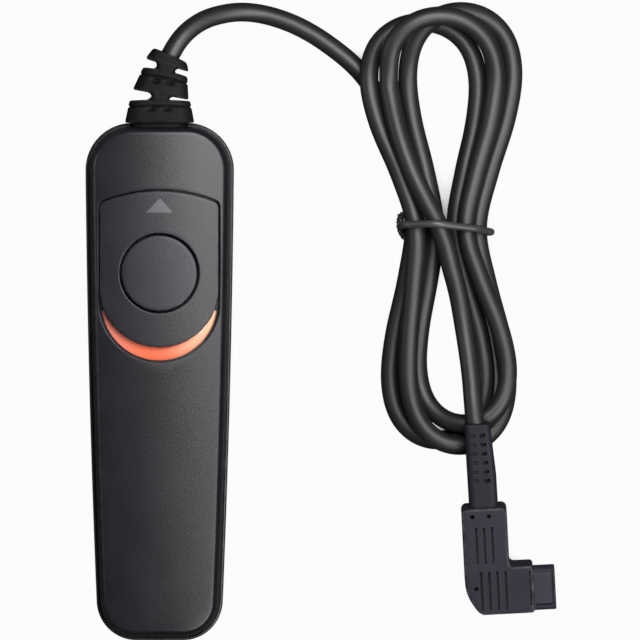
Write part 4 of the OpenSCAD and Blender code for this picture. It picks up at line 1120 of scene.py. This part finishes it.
# the twist tie: one turn round the waist, and its two ends twisted together
TIE_CORNERS = [[60.2, 3.3], [58.2, 7.1], [52.5, 9.9], [48.6, 7.4], [48.3, 3.3]]
TIE_REACH, TIE_RADIUS = 2.6, 0.7
TIE_Y, TIE_SKEW, TIE_LEAN = 28.8, 0.06, 0.006
STRAND_STEP, STRAND_TURN, STRAND_APART, STRAND_RADIUS = 0.12, 1.6, 0.33, 0.38
TIE_ENDS = [[45.8, 31.7, 0.9], [45.6, 30.9, 1.5], [45.5, 30, 2.3], [45.6, 29, 2.3], [46, 28.1, 1.5],
            [46.5, 27.4, 0.9]]


def tie_loop():
    """The line that goes round the strands' corners at a set distance, a little askew: y falls with x and
    rises with the square of the height."""
    flat = []
    for i, (x, z) in enumerate(TIE_CORNERS):
        before = -90 if i == 0 else facing(TIE_CORNERS[i - 1], (x, z))
        after = 270 if i == len(TIE_CORNERS) - 1 else facing((x, z), TIE_CORNERS[i + 1])
        flat.append(arc((x, z), TIE_REACH, before, after, 12))
    flat = np.concatenate(flat)
    flat = spaced(np.vstack([flat, flat[:1]]), 0.4)[:-1]
    y = TIE_Y - TIE_SKEW * (flat[:, 0] - HANK_CENTRE[0]) + TIE_LEAN * flat[:, 1] ** 2
    return np.stack([flat[:, 0], y, flat[:, 1]], 1)


def facing(a, b):
    """The direction square to the line from a to b, in degrees."""
    return math.degrees(math.atan2(a[0] - b[0], b[1] - a[1]))


def tie_strands():
    """Two thin strands that wind round the line of the ends, opposite each other."""
    line = spaced(smooth_through(TIE_ENDS, np.linspace(0, len(TIE_ENDS) - 1, 60)), STRAND_STEP)
    _, side, up = path_frames(line, (1, 0, 0))
    a = TURN * np.arange(len(line)) * STRAND_STEP / STRAND_TURN
    return [line + STRAND_APART * (np.cos(a + turn)[:, None] * side + np.sin(a + turn)[:, None] * up)
            for turn in (0, math.pi)]


tie = make_piece("waist_tie", [skin(swept_loop(tie_loop(), TIE_RADIUS, 16, (0, 1, 0)), wrap=True)]
                 + [skin(swept(strand, STRAND_RADIUS, 10, (1, 0, 0))) for strand in tie_strands()],
                 "handset", ["twist_tie"], "tie_plastic")

plug_boot = make_piece("plug_boot_sleeve", [placed(plug_boot_skin())], "handset", ["plug_boot"],
                       "plug_rubber")
plug_body = make_piece("plug_elbow", plug_body_mesh(), "handset", ["plug_body"], "plug_plastic")
plug_nose = make_piece("plug_nose_block", plug_nose_mesh(), "handset", ["plug_nose"], "plug_plastic",
                       PALER_NOSE)

tuple(MM * np.array(LEAD[0]))


# ---- stage and light

FLOOR_HALF, FLOOR_DROP = 3.0, 0.0001
FLOOR_GLOW, MIRRORED_GLOW = 0.97, 0.015
# Reach and thresholds of the ambient occlusion test that paints shade into the floor's gaps.
GAP_REACH, GAP_CLOSED, GAP_OPEN = 0.005, 0.15, 0.45


def white_stage():
    """A pale floor that the camera sees nearly white, with the object's shadow kept. The narrow gaps between
    the cord's strands are painted dark where an ambient occlusion test finds the floor closed in: painted
    shade in the floor's glow."""
    f = Finish("pale floor")
    path = "ShaderNodeLightPath"
    seen = [f.node(path, out=ray) for ray in ("Is Camera Ray", "Is Glossy Ray", "Is Transmission Ray")]
    plain = f.node("ShaderNodeBsdfDiffuse", values={"Color": colour(*grey(0.03))})
    lit = f.node("ShaderNodeEmission", values={"Color": colour(*grey(1)), "Strength": 1.0})
    painted_shade_openness = f.node("ShaderNodeAmbientOcclusion", {"samples": 12}, {"Distance": GAP_REACH}, out="AO")
    # Painted shade: the floor's glow is dimmed where the ambient occlusion test finds the floor closed in, in
    # the narrow gaps between strands.
    share = ((seen[0] + seen[2]) * FLOOR_GLOW * painted_shade_openness.between(GAP_CLOSED, GAP_OPEN)
             + seen[1] * MIRRORED_GLOW)
    mixed = f.node("ShaderNodeMixShader", values={0: share, 1: plain, 2: lit})
    f.node("ShaderNodeOutputMaterial", values={"Surface": mixed}, out=None)
    data = bpy.data.meshes.new("floor")
    corners = [(x * FLOOR_HALF, y * FLOOR_HALF, 0) for x, y in ((-1, -1), (1, -1), (1, 1), (-1, 1))]
    data.from_pydata(corners, [], [(0, 1, 2, 3)])
    floor = new_object("floor", data)
    floor.location.z = -FLOOR_DROP
    data.materials.append(f.material)


def white_world(strength):
    """White where the camera sees it, and a plain grey light otherwise."""
    world = bpy.context.scene.world = bpy.data.worlds.new("studio")
    g = Graph(world)
    seen = g.node("ShaderNodeLightPath", out="Is Camera Ray")
    amount = g.node("ShaderNodeMix", values={0: seen, 2: strength, 3: 1.0})
    back = g.node("ShaderNodeBackground", values={"Strength": amount})
    g.node("ShaderNodeOutputWorld", values={"Surface": back}, out=None)


def soft_box(name, place, target, size, power):
    """An area light at a place in metres that faces a target."""
    data = bpy.data.lights.new(name, "AREA")
    data.shape, data.size, data.size_y, data.energy = "RECTANGLE", size[0], size[1], power
    box = new_object(name, data)
    box.location = place
    box.rotation_euler = (Vector(target) - Vector(place)).to_track_quat("-Z", "Y").to_euler()


white_stage()
white_world(0.19)
soft_box("key", (0.44, -0.24, 0.56), (0.03, 0.01, 0), (0.5, 0.5), 6.2)
soft_box("top", (0.07, 0.1, 0.22), (0.01, 0.04, 0), (0.14, 0.14), 0.8)
soft_box("left", (-0.6, 0.1, 0.12), (0.0, 0.01, 0), (0.08, 0.5), 0.8)
